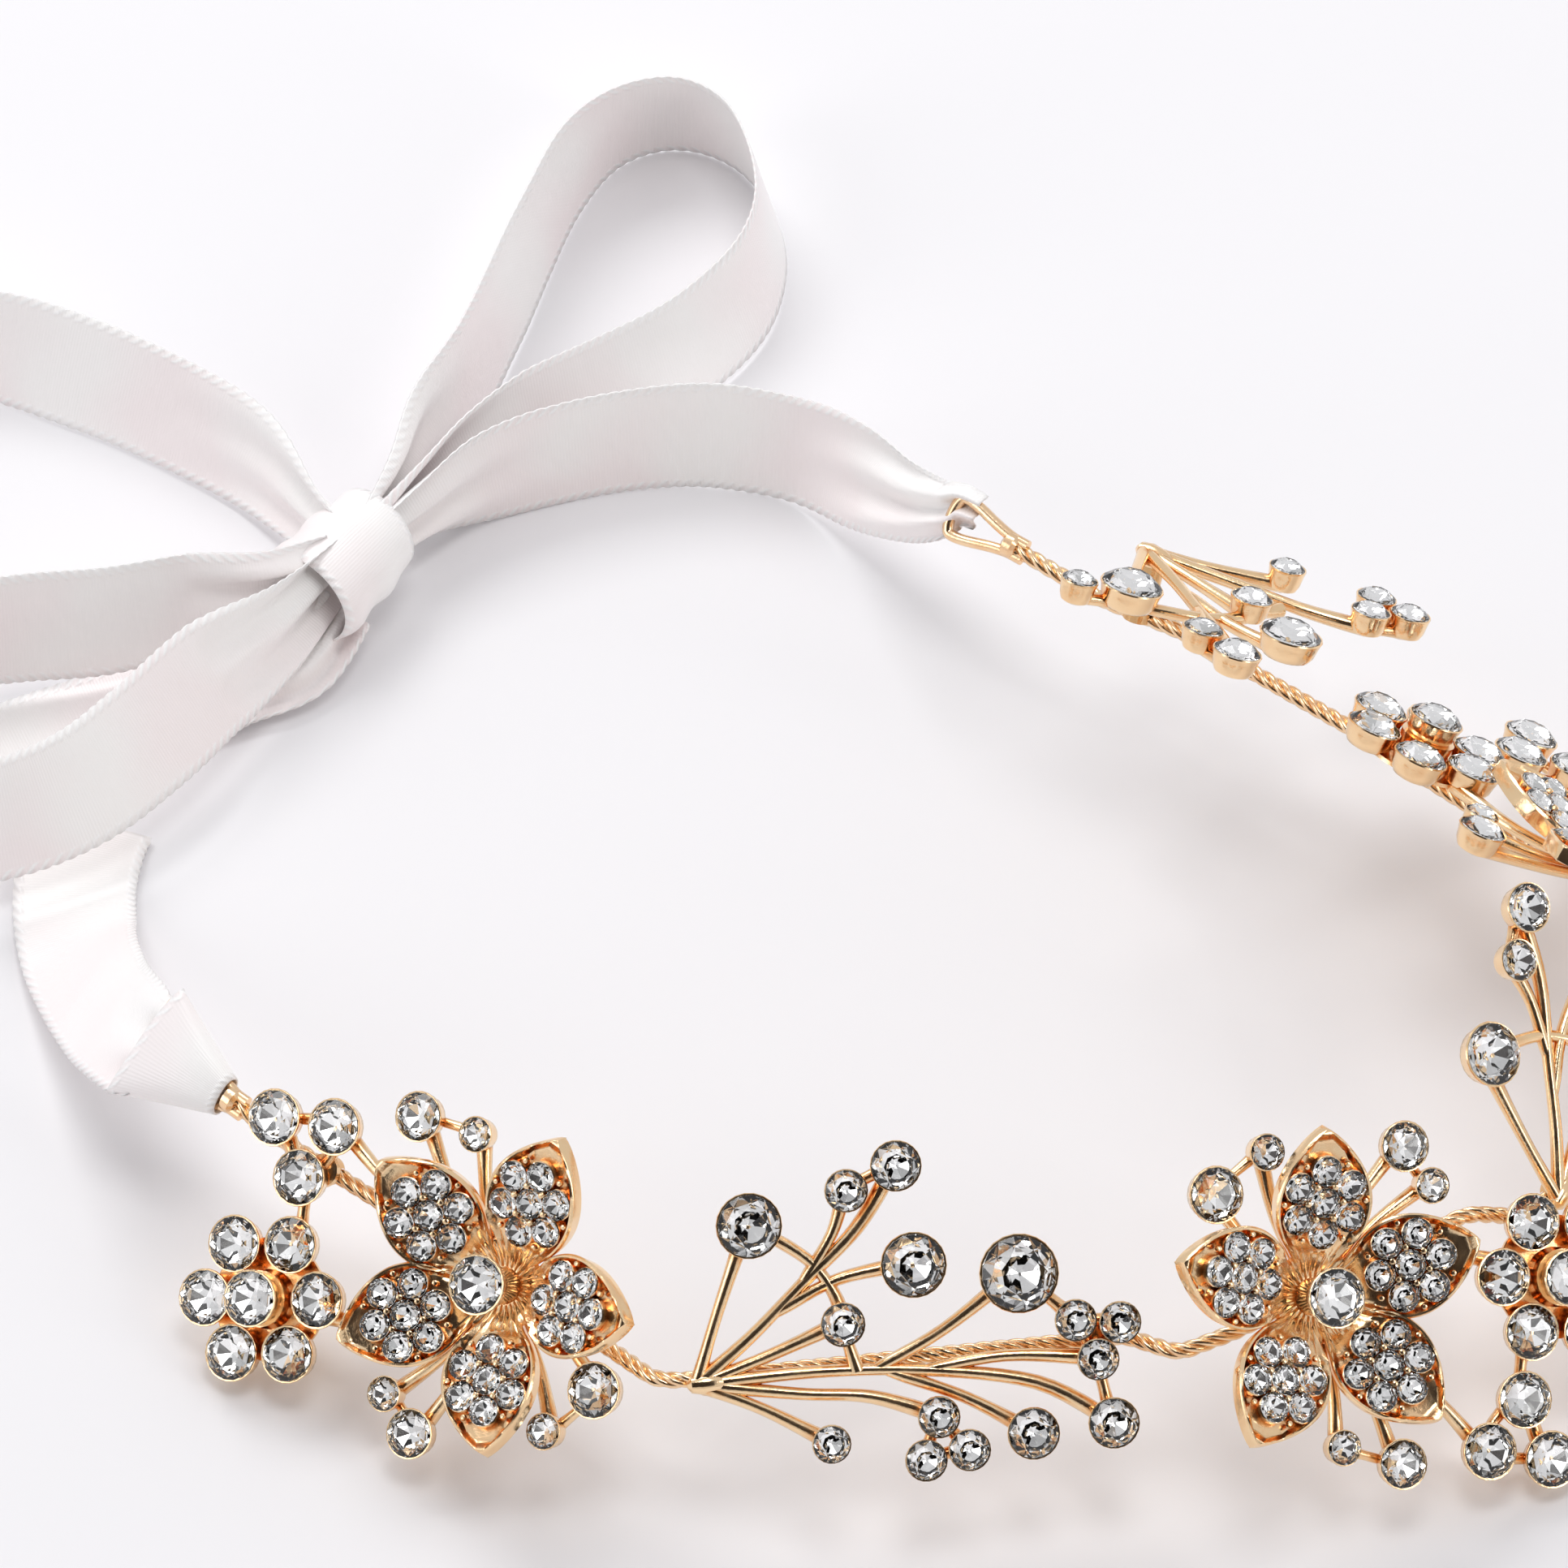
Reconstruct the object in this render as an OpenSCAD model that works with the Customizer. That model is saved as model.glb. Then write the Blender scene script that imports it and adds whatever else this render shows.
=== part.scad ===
// Flower crown: a bendable wire band with cast flowers and sprays soldered along it,
// set with clear stones, and closed at the back by a satin ribbon bow.
// The crown lies on a table. +Z is up and the front of the band faces -Y.

/* [Wire band] */
// Diameter of the twisted wire rope
wire_d = 1.7; // [1.4:0.1:2.0]
// Height of the wire above the table at the front spray
wire_rise = 18; // [18:0.1:20]
// How far each plaque's face tips up from facing straight outward
lean = 45; // [35:1:55]
// Diameter of the plain wire that forms the two end eyes
eye_wire_d = 1.2; // [1.0:0.1:1.4]

/* [Castings] */
// Diameter of the cast stems
stem_d = 1.5; // [1.2:0.1:1.8]
// Wall of a stone cup
cup_wall = 0.45; // [0.35:0.05:0.6]
// Height of a stone cup
cup_h = 2.7; // [2.6:0.1:3.0]
// Length of a petal
petal_l = 13.6; // [12:0.1:15]
// Greatest width of a petal
petal_w = 10.2; // [10:0.1:11]
// How far a petal tips up out of the flower's face
petal_tip_up = 15; // [8:1:22]

/* [Stones] */
// Diameter of the pave stones in the petals
pave_d = 2.8; // [2.6:0.1:2.9]
// Diameter of the stones in the round clusters
cluster_d = 5.2; // [4.8:0.1:5.3]
// Diameter of the stone at a flower's heart
heart_d = 5.5; // [5:0.1:6]

/* [Ribbon] */
// Width of the satin ribbon
ribbon_w = 12; // [10:0.5:13]
// Thickness of the ribbon
ribbon_t = 0.4; // [0.3:0.05:0.5]

/* [Hidden] */
$fn = 24;
wire_r = wire_d / 2;
stem_r = stem_d / 2;
seat = 0.02;          // running gap between a stone and its setting
girdle_drop = 0.55;   // how far a stone's girdle sits below the rim of its cup
hinge_gap = 0.15;     // from a flex point to the rounded wire end beside it
wire_under = wire_r + stem_r + 0.05;  // from a stem's axis back to the wire's axis

// Moves everything so that the origin is under the middle of the crown
crown_shift = [-61.06, 93.6, 0];

// Plaques: x, y, height over the front's, heading of the wire, spin of the casting,
// stand-off from the wire, mirrored, cut short, lean beyond the others' lean
left_flower_at  = [50.2, -164.1, -1.4, -39, 28, 0, 0, 0, 0];
front_spray_at  = [68.8, -177.5, 0, 7.3, -5.6, 0, 0, 0, 0];
right_flower_at = [128.3, -168.2, 2, 33, 155, 0, 0, 0, 0];
right_spray_at  = [152.6, -153.4, -1.5, 51, 10, 0, 0, 1, 0];
back_flower_at  = [159.7, -115.5, 1, 140, 176, 0, 0, 0, 8];
back_spray_at   = [111.8, -77.7, 0.5, 152, 0, 4.8, 1, 1, 13];

// Points where the bare wire flexes between two plaques, and the bars of the two eyes
flex_1 = [64.6, -175.4, wire_rise - 1.6];
flex_2 = [115.4, -173.6, wire_rise];
flex_3 = [150.0, -155.0, wire_rise - 2.1];
flex_4 = [173.0, -127.0, wire_rise - 2.4];
corner_low = [171.3, -130.5, wire_rise - 3.5];
corner_high = [172.4, -123.4, wire_rise - 1.4];
flex_5 = [133.4, -93.9, wire_rise - 0.9];
left_bar = [15.2, -133.5, wire_rise - 1.4];
right_bar = [94.0, -66.6, wire_rise];
left_eye_heading = -42;
right_eye_heading = -36;

// Spray stones: along the wire, up from it, diameter
spray_stones = [
    [4.8, 15.6, 5.9], [14.2, 19.0, 3.9], [19.0, 21.4, 4.6], [20.8, 11.8, 5.9], [14.0, 6.0, 4.0],
    [31.0, 11.0, 7.1], [36.6, 6.4, 3.8], [40.9, 6.2, 3.8], [38.8, 2.6, 3.8], [40.4, -3.6, 4.6],
    [32.6, -4.6, 4.7], [23.4, -3.0, 3.8], [22.2, -7.2, 3.8], [26.4, -6.2, 3.8], [13.0, -5.6, 3.5]
];
// Spray stems, each a line of points from the apex or from another stem out to a stone
spray_stems = [
    [[0, 0], [2.0, 7.0], [4.8, 15.6]],
    [[0, 0], [5.2, 4.6], [10, 9.6], [15.4, 15.2], [19.0, 21.4]],
    [[10, 9.6], [13.0, 14.6], [14.2, 19.0]],
    [[7.4, 6.8], [13.6, 10.2], [20.8, 11.8]],
    [[0, 0], [7.0, 2.8], [14.0, 6.0]],
    [[0, 0], [11, 1.2], [22, 1.4], [33, 0.2], [40.4, -3.6]],
    [[17, 1.3], [24, 5.4], [31.0, 11.0]],
    [[22, 1.4], [30, 2.8], [38.8, 2.6]],
    [[18.5, 1.3], [26, -1.2], [32.6, -4.6]],
    [[0, 0], [10, -0.9], [17, -1.2], [23.4, -3.0]],
    [[0, 0], [6.5, -2.4], [13.0, -5.6]],
    [[4.8, 15.6], [10.6, 12.2], [13.4, 8.6], [14.0, 6.0]],
    [[14.0, 6.0], [15.6, 1.3]],
    [[31.0, 11.0], [36.6, 6.4]],
    [[38.8, 2.6], [40.4, -3.6]]
];
// The back spray is the same casting cut short, with one more small stone beside the first
short_length = 29;
extra_stone = [0.6, 19.2, 3.5];

// Stones round a flower, on stems from its throat: along, up, diameter
berries = [
    [-9, 16.2, 4.6], [-2.7, 14.6, 3.3], [-11.9, -10.8, 3.3], [-9, -14.6, 4.6],
    [10.9, -9.9, 5.2], [5.6, -14.0, 3.4]
];
// Middle of the seven-stone cluster, and the three stones beyond it
rosette_at = [-25.7, -1.9];
rosette_r = 6.15;
trio = [[-24.8, 15.8], [-18.2, 15.0], [-21.9, 10.0]];
flower_stems = [
    [[-3, -1], [-11, -4.2], [-20, -3.4]],
    [[-4, 5], [-12, 9.0], [-18.2, 15.0]],
    [[-21.9, 10.0], [-22.6, 3.4]],
    [[-21.9, 10.0], [-24.8, 15.8], [-18.2, 15.0], [-21.9, 10.0]]
];

// ---- places on a plaque ----

// Directions of a plaque whose wire has this heading: up in its face, and out of its face
function up_of(h, l = lean) = [-sin(l) * sin(h), sin(l) * cos(h), cos(l)];
function out_of(h, l = lean) = [cos(l) * sin(h), -cos(l) * cos(h), sin(l)];
function turned(a, p) = [p[0] * cos(a) - p[1] * sin(a), p[0] * sin(a) + p[1] * cos(a)];

function heading(q) = q[3];
function spin(q) = q[4];
function stand_off(q) = q[5];
function mirrored(q) = q[6] == 1;
function is_short(q) = q[7] == 1;
function lean_of(q) = lean + q[8];

// A layout point of plaque q after its mirror and spin: s along the wire, v up from it
function laid(q, p) = turned(spin(q), [mirrored(q) ? -p[0] : p[0], p[1]]);
function on_wire_face(q, s, v, w) =
    [q[0] + s * cos(heading(q)), q[1] + s * sin(heading(q)), wire_rise + q[2]]
    + v * up_of(heading(q), lean_of(q)) + w * out_of(heading(q), lean_of(q));
function on_plaque(q, p, w = 0) =
    let (l = laid(q, p)) on_wire_face(q, l[0], l[1], w + stand_off(q));
// A point on the axis of the wire behind plaque q
function behind(q, s, v = 0) = on_wire_face(q, s, v, -wire_under);

module at_plaque(q, p, w = 0) {
    translate(on_plaque(q, p, w))
        rotate([90 - lean_of(q), 0, heading(q)])
            rotate([0, 0, spin(q)])
                children();
}
module at_wire_face(q, s, v, w) {
    translate(on_wire_face(q, s, v, w)) rotate([90 - lean_of(q), 0, heading(q)]) children();
}

// ---- shapes that repeat ----

// A round rod from a to b
module rod(a, b, r) {
    d = b - a;
    l = norm(d);
    translate(a)
        rotate([0, acos(d[2] / l), atan2(d[1], d[0])])
            cylinder(r = r, h = l);
}

// Rounded limbs through a line of points, with a sphere's corners kept few
module limb(points, r) {
    for (i = [0 : len(points) - 2])
        hull() {
            translate(points[i]) sphere(r = r, $fn = 6);
            translate(points[i + 1]) sphere(r = r, $fn = 6);
        }
}

function unit(v) = v / norm(v);
function point_of(points, i) = points[min(max(i, 0), len(points) - 1)];

// A tube along a line of points, closed at both ends
tube_sides = 10;
function tube_ring(points, i, r) =
    let (
        go = unit(unit(point_of(points, i + 1) - points[i] + [0, 0, 1e-6])
            + unit(points[i] - point_of(points, i - 1) + [0, 0, 1e-6])),
        a = unit(cross(go, [0.3, 0.2, 1])), b = cross(go, a)
    )
    [for (k = [0 : tube_sides - 1])
        points[i] + r * (cos(360 * k / tube_sides) * a + sin(360 * k / tube_sides) * b)];
module tube(points, r) {
    n = tube_sides;
    last = len(points) - 1;
    rings = [for (i = [0 : last]) each tube_ring(points, i, r)];
    walls = [for (i = [0 : last - 1]) for (k = [0 : n - 1])
        let (a = n * i + k, b = n * i + (k + 1) % n) each [[a, a + n, b], [b, a + n, b + n]]];
    start = [for (k = [0 : n - 1]) k];
    end = [for (k = [n - 1 : -1 : 0]) n * last + k];
    polyhedron(points = rings, faces = concat(walls, [start, end]));
}

// Depth of a stone's back, for its diameter
function pavilion(d) = 0.32 * d;

// A faceted stone drawn as its turned outline, with its girdle at z = 0
module stone(d) {
    rotate_extrude()
        polygon([
            [0, -pavilion(d)], [0.12 * d, -pavilion(d)], [d / 2, 0], [d / 2, 0.05 * d],
            [0.27 * d, 0.22 * d], [0, 0.22 * d]
        ]);
}

function cup_height(d) = max(cup_h, pavilion(d) + girdle_drop + 0.4);

// The cup that holds a stone, standing on z = 0, and the hollow that its stone sits in
cup_sides = 10;
function cup_bore(d) = (d / 2 + seat) / cos(180 / cup_sides);
module cup_body(d) {
    cylinder(r1 = cup_bore(d) + cup_wall - 0.15, r2 = cup_bore(d) + cup_wall, h = cup_height(d),
        $fn = cup_sides);
}
module cup_hollow(d) {
    translate([0, 0, cup_height(d) - girdle_drop - pavilion(d) - seat])
        cylinder(r = cup_bore(d), h = cup_height(d), $fn = cup_sides);
}

// Cups and stones stand on the stems' backs
cup_base = -stem_r * 0.6;
module cup_at(q, p, d, lift = 0) { at_plaque(q, p, cup_base + lift) cup_body(d); }
module hollow_at(q, p, d, lift = 0) { at_plaque(q, p, cup_base + lift) cup_hollow(d); }
module stone_at(q, p, d, lift = 0) {
    at_plaque(q, p, cup_base + lift + cup_height(d) - girdle_drop) stone(d);
}

// A flat-backed pad in the casting, and the solder that fills from it to round the wire
pad_r = 1.7;
module pad(q, place) {
    at_wire_face(q, place[0], place[1], stand_off(q) - stem_r)
        cylinder(r = pad_r, h = stem_r * 0.9, $fn = cup_sides);
}
module solder(q, place) {
    reach = wire_under - stem_r + stand_off(q) + wire_r * 0.5;
    difference() {
        at_wire_face(q, place[0], place[1], stand_off(q) - stem_r - reach)
            cylinder(r = pad_r - 0.3, h = reach);
        rod(behind(q, place[0] - 4, place[2]), behind(q, place[0] + 4, place[3]), wire_r);
    }
}

// ---- spray ----

function kept(q, p) = !is_short(q) || p[0] <= short_length;
function stones_of(q) = concat(
    [for (s = spray_stones) if (kept(q, s)) s], mirrored(q) ? [extra_stone] : []
);
module spray_casting(q) {
    difference() {
        union() {
            for (s = stones_of(q)) cup_at(q, s, s[2]);
            for (line = spray_stems)
                if (kept(q, line[len(line) - 1])) limb([for (p = line) on_plaque(q, p)], stem_r);
        }
        for (s = stones_of(q)) hollow_at(q, s, s[2]);
    }
}
module spray_gems(q) { for (s = stones_of(q)) stone_at(q, s, s[2]); }

// ---- flower ----

petal_start = 3.6;
petal_angles = [60, 134, 200, 273, 348];
petal_t = 1.1;
pave_pitch = 3.0;
pave_middle = 6.3;    // from a petal's base to its middle stone
heart_lift = 4.2;     // the heart stone's cup above the other cups

// Half-outline of a petal: widest past its middle and pointed at its tip
function petal_half(s) = petal_w / 2 * pow(sin(180 * pow(0.08 + 0.92 * s, 0.95)), 0.75);
function petal_side(k) = [for (i = [0 : 7]) [i / 7 * petal_l, k * petal_half(i / 7)]];
module petal_outline() {
    polygon(concat(petal_side(1), [for (i = [6 : -1 : 0]) petal_side(-1)[i]]));
}
pave_places = concat(
    [[pave_middle, 0]],
    [for (a = [0 : 60 : 300]) [pave_middle + pave_pitch * cos(a), pave_pitch * sin(a)]]
);
// A petal is a plate with a raised rim; its stones stand on the plate
petal_rim = 0.7;
module petal() {
    difference() {
        linear_extrude(petal_t + petal_rim) petal_outline();
        translate([petal_l * 0.07, 0, petal_t])
            linear_extrude(petal_rim * 2) scale(0.86) petal_outline();
    }
}
module on_petals(q) {
    for (a = petal_angles)
        at_plaque(q, [0, 0]) rotate([0, 0, a]) translate([petal_start, 0, 0.7])
            rotate([0, -petal_tip_up, 0]) children();
}
// The throat: a shallow funnel that the petals grow from
module throat(q) {
    at_plaque(q, [0, 0], -stem_r)
        rotate_extrude($fn = 16)
            polygon([[0, 0], [3.4, 0], [5.2, 2.4], [4.6, 3.2], [2.4, 1.4], [0, 1.4]]);
}

rosette_ring = [
    for (k = [0 : 5])
        [rosette_at[0] + rosette_r * cos(60 * k), rosette_at[1] + rosette_r * sin(60 * k)]
];
cluster_low = concat(rosette_ring, trio);
rosette_lift = 2.3;   // the middle stone of the rosette stands above its ring
post_r = 1.3;

module flower_frame(q) {
    throat(q);
    on_petals(q) petal();
    at_plaque(q, [0, 0], 0) cylinder(r = post_r, h = heart_lift, $fn = cup_sides);
    cup_at(q, [0, 0], heart_d, heart_lift);
    for (b = berries) {
        cup_at(q, b, b[2]);
        limb([on_plaque(q, 2.6 * b / norm([b[0], b[1]])), on_plaque(q, b)], stem_r);
    }
    for (k = [0, 2, 4]) limb([on_plaque(q, berries[k]), on_plaque(q, berries[k + 1])], stem_r * 0.8);
    for (p = cluster_low) cup_at(q, p, cluster_d);
    at_plaque(q, rosette_at, cup_base) cylinder(r = rosette_r, h = 0.5, $fn = cup_sides);
    at_plaque(q, rosette_at, cup_base + 0.2)
        cylinder(r = cluster_d / 2 + 0.4, h = rosette_lift, $fn = cup_sides);
    cup_at(q, rosette_at, cluster_d, rosette_lift);
    for (line = flower_stems) limb([for (p = line) on_plaque(q, p)], stem_r);
}
module flower_casting(q) {
    difference() {
        flower_frame(q);
        hollow_at(q, [0, 0], heart_d, heart_lift);
        for (b = berries) hollow_at(q, b, b[2]);
        for (p = cluster_low) hollow_at(q, p, cluster_d);
        hollow_at(q, rosette_at, cluster_d, rosette_lift);
    }
}
module petal_gems(q) {
    on_petals(q)
        for (p = pave_places) translate([p[0], p[1], petal_t + pavilion(pave_d) + seat]) stone(pave_d);
}
module cluster_gems(q) {
    for (p = cluster_low) stone_at(q, p, cluster_d);
    stone_at(q, rosette_at, cluster_d, rosette_lift);
}
module berry_gems(q) { for (b = berries) stone_at(q, b, b[2]); }
module heart_gem(q) { stone_at(q, [0, 0], heart_d, heart_lift); }

// ---- wire ----

// A wire piece from one flex point to the next; both ends stop short so that they can turn
function toward(a, b, d) = a + d * (b - a) / norm(b - a);
module wire_piece(points, free_start, free_end) {
    last = len(points) - 1;
    gap = hinge_gap + wire_r * 0.6;
    start = free_start ? toward(points[0], points[1], gap) : points[0];
    end = free_end ? toward(points[last], points[last - 1], gap) : points[last];
    tube(concat([start], [for (i = [1 : last - 1]) points[i]], [end]), wire_r);
}

// An eye bent from one strand: two legs that spread from beside the wire's end to a bar
function eye_neck(bar, h, l) = bar + l * [cos(h), sin(h), 0];
module eye(bar, h, l, tall) {
    up = up_of(h);
    neck = eye_neck(bar, h, l);
    beside = (wire_r + eye_wire_d / 2 + seat) * up;
    half = tall / 2;
    in = 0.8 * [cos(h), sin(h), 0];
    tube([
        neck + beside, bar + in + half * up, bar + (half - 1) * up,
        bar - (half - 1) * up, bar + in - half * up, neck - beside
    ], eye_wire_d / 2);
}

// ---- ribbon ----

// A smooth line through hand-set rows of [x, y, z, lean towards the left, width]
function blend_row(a, b, c, d, f) = 0.5 * ((2 * b) + (c - a) * f + (2 * a - 5 * b + 4 * c - d) * f * f
    + (3 * b - a - 3 * c + d) * f * f * f);
function row_of(rows, i) = rows[min(max(i, 0), len(rows) - 1)];
function smooth_rows(rows, n) = concat(
    [for (i = [0 : len(rows) - 2]) for (k = [0 : n - 1])
        blend_row(row_of(rows, i - 1), rows[i], rows[i + 1], row_of(rows, i + 2), k / n)],
    [rows[len(rows) - 1]]
);
function xyz(row) = [row[0], row[1], row[2]];
// The four corners of the ribbon's section at row i
function section(rows, i) =
    let (
        go = unit(xyz(row_of(rows, i + 1)) - xyz(row_of(rows, i - 1))),
        side = unit([-go[1], go[0], 0]),
        rise = cos(rows[i][3]) * cross(go, side) + sin(rows[i][3]) * side,
        face = unit(cross(go, rise)),
        c = xyz(rows[i]), w = rows[i][4] / 2 * rise, t = ribbon_t / 2 * face
    )
    [c - w - t, c + w - t, c + w + t, c - w + t];
module ribbon(rows, n = 3) {
    line = smooth_rows(rows, n);
    last = len(line) - 1;
    points = [for (i = [0 : last]) each section(line, i)];
    walls = [for (i = [0 : last - 1]) for (k = [0 : 3])
        let (a = 4 * i + k, b = 4 * i + (k + 1) % 4) each [[a, a + 4, b], [b, a + 4, b + 4]]];
    ends = [[0, 1, 2], [0, 2, 3],
        [4 * last, 4 * last + 2, 4 * last + 1], [4 * last, 4 * last + 3, 4 * last + 2]];
    polyhedron(points = points, faces = concat(walls, ends));
}

w = ribbon_w;
right_lead_rows = [
    [92.4, -65.2, 17.0, -38, 0.5 * w], [89.0, -60.5, 12.8, -30, 0.68 * w], [84.4, -53.8, 9.0, -22, 0.95 * w],
    [78.4, -48.2, 6.3, -18, w], [70, -46.1, 6.1, -17, w], [62, -46.7, 6.1, -15, w],
    [54, -48.8, 6.1, -12, w], [47, -52.1, 6.2, -8, 0.95 * w], [41.2, -56.6, 6.4, -4, 0.7 * w]
];
right_loop_rows = [
    [38.4, -53.3, 7.0, 4, 0.7 * w], [41.4, -46.1, 6.8, 10, 0.95 * w], [45.6, -38.4, 6.5, 14, w],
    [48.9, -29.4, 6.4, 15, w], [52.1, -20, 6.3, 13, w], [55.8, -10.6, 6.3, 8, w],
    [60.6, -4.9, 6.3, 0, w], [66.6, -3.2, 6.3, -4, w], [72.0, -6.2, 6.3, -8, w],
    [75.2, -13, 6.3, -12, w], [75.8, -20.4, 6.3, -16, w], [73.4, -27.6, 6.3, -20, w],
    [67.6, -34.6, 6.3, -22, w], [60.0, -40, 6.3, -22, w], [52.0, -44.6, 6.5, -18, w],
    [45.6, -49.1, 6.8, -10, 0.9 * w], [40.6, -54.1, 7.0, -4, 0.7 * w]
];
left_loop_rows = [
    [27.4, -73.1, 8.4, -26, 0.8 * w], [20.6, -80.7, 9.4, -38, w], [14.4, -88.4, 9.6, -42, w],
    [7.8, -94.9, 9.4, -42, w], [0, -98.9, 9.2, -36, w], [-8, -100, 9.0, -24, w],
    [-14.6, -95.8, 8.8, -8, w], [-16.4, -88.2, 8.8, 4, w], [-13.4, -80.2, 8.8, 12, w],
    [-7.0, -75.6, 8.8, 18, w], [1.0, -73.8, 8.8, 20, w], [9.6, -72.7, 8.6, 20, w],
    [17.6, -70.6, 8.8, 14, w], [25.6, -68.6, 8.8, 6, 0.7 * w]
];
upper_tail_rows = [
    [30.6, -57.6, 6.6, -10, 0.7 * w], [24.4, -49.5, 6.2, -20, 0.95 * w], [16, -43.1, 6.0, -26, w],
    [7, -37.9, 6.0, -27, w], [-3, -33.9, 6.0, -24, w], [-15, -32.3, 6.0, -20, w],
    [-27, -34.7, 6.1, -16, w], [-38, -40.5, 6.1, -14, w], [-47, -48.9, 6.1, -14, w]
];
lower_tail_rows = [
    [29.0, -73.5, 2.4, -70, 0.6 * w], [22.0, -75.3, 2.0, -80, 0.85 * w], [14.0, -77.9, 1.5, -86, w],
    [5.0, -81.3, 1.2, -88, w], [-5, -85.3, 0.9, -90, w], [-16, -88.9, 0.8, -90, w],
    [-28, -90.3, 0.8, -90, w], [-40, -88.3, 0.8, -90, w], [-51, -83.1, 0.8, -90, w]
];
left_lead_rows = [
    [13.9, -132.4, 15.8, -45, 0.9 * w], [12.0, -128.2, 13.2, -46, w], [10.4, -122.6, 9.2, -50, w],
    [8.6, -115.6, 5.6, -60, w], [7.4, -108.4, 2.4, -76, w], [7.0, -101.0, 0.9, -88, w],
    [7.8, -95.4, 0.6, -90, w], [8.8, -92.2, 0.6, -90, w]
];

// The sleeve: the ribbon's end folded round the left eye's bar and gathered to the wire
sleeve_l = 10.6;
sleeve_gap = 1.5;     // from the eye's middle plane to each layer
module sleeve_layer(side) {
    h = left_eye_heading;
    bar = left_bar;
    go = [cos(h), sin(h), 0];
    lift = side * sleeve_gap * out_of(h);
    wide = 0.52 * ribbon_w;
    thin = 1.6;
    skin = side * ribbon_t * out_of(h);
    a = bar + 1.2 * go + wide * up_of(h) + lift;
    b = bar + 1.2 * go - wide * up_of(h) + lift;
    c = bar + sleeve_l * go - thin * up_of(h) + lift;
    d = bar + sleeve_l * go + thin * up_of(h) + lift;
    hull() for (p = [a, b, c, d]) {
        translate(p) cube(0.01);
        translate(p + skin) cube(0.01);
    }
}

// The bow's knot: a short barrel of wrapped ribbon
knot_at = [33.2, -63.4, 6.4];
knot_heading = 53;
knot_r = 5.2;
knot_l = 11.4;
module knot_barrel() {
    round = 1.6;
    translate(knot_at) rotate([0, 90, knot_heading]) translate([0, 0, -knot_l / 2])
        rotate_extrude($fn = 48)
            polygon([[0, 0], [knot_r - round, 0], [knot_r, round], [knot_r, knot_l - round],
                [knot_r - round, knot_l], [0, knot_l]]);
}

// ---- sub-parts ----

gold = "#e3b06a";
clear = "#d9dde2";
satin = "#f0e8e6";

module shifted() { translate(crown_shift) children(); }
module cast(q, places) {
    color(gold) shifted() {
        children();
        for (p = places) pad(q, p);
    }
}
module soldered(q, places) { color(gold) shifted() for (p = places) solder(q, p); }

// Soldered places: along the wire, up from it, and how high the wire runs 4 mm to each side
front_places = [[1.2, 0.4, 0.4, 0.4], [39.1, 0.5, 0.4, 0.4]];
left_places = [[0, 0, 0, 0], [-23, 0, 0, 0]];
right_places = [[0, 0, 0, 0], [12.5, 0, 0, 0]];
side_places = [[1.2, 0.4, 0.4, 0.4], [23.6, 0.5, 0.4, 0.4]];
back_places = [[0, 0, 0, 0], [25, 0, 0, 0]];
end_places = [[-1.2, 0.4, 0, 0]];

module free_wire(points) { color(gold) shifted() wire_piece(points, true, true); }

module front_wire() {
    q = front_spray_at;
    free_wire([flex_1, behind(q, -1.6, 0.4), behind(q, 42, 0.4), flex_2]);
}
module front_spray_casting() { cast(front_spray_at, front_places) spray_casting(front_spray_at); }
module front_spray_stones() { color(clear) shifted() spray_gems(front_spray_at); }
module front_spray_solder() { soldered(front_spray_at, front_places); }

left_eye_l = 10.2;
left_neck = eye_neck(left_bar, left_eye_heading, left_eye_l);
module left_wire() {
    q = left_flower_at;
    color(gold) shifted()
        wire_piece([left_neck, behind(q, -29), behind(q, 10), flex_1], false, true);
}
module left_eye() { color(gold) shifted() eye(left_bar, left_eye_heading, left_eye_l, 10.5); }
module left_flower_casting() { cast(left_flower_at, left_places) flower_casting(left_flower_at); }
module left_flower_petal_stones() { color(clear) shifted() petal_gems(left_flower_at); }
module left_flower_cluster_stones() { color(clear) shifted() cluster_gems(left_flower_at); }
module left_flower_berry_stones() { color(clear) shifted() berry_gems(left_flower_at); }
module left_flower_heart_stone() { color(clear) shifted() heart_gem(left_flower_at); }
module left_flower_solder() { soldered(left_flower_at, left_places); }

module right_wire() {
    q = right_flower_at;
    free_wire([flex_2, behind(q, -8), behind(q, 19), flex_3]);
}
module right_flower_casting() { cast(right_flower_at, right_places) flower_casting(right_flower_at); }
module right_flower_petal_stones() { color(clear) shifted() petal_gems(right_flower_at); }
module right_flower_cluster_stones() { color(clear) shifted() cluster_gems(right_flower_at); }
module right_flower_berry_stones() { color(clear) shifted() berry_gems(right_flower_at); }
module right_flower_heart_stone() { color(clear) shifted() heart_gem(right_flower_at); }
module right_flower_solder() { soldered(right_flower_at, right_places); }

module side_wire() {
    q = right_spray_at;
    free_wire([flex_3, behind(q, -1, 0.4), behind(q, 26, 0.4), corner_low, flex_4]);
}
module right_spray_casting() { cast(right_spray_at, side_places) spray_casting(right_spray_at); }
module right_spray_stones() { color(clear) shifted() spray_gems(right_spray_at); }
module right_spray_solder() { soldered(right_spray_at, side_places); }

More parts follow.
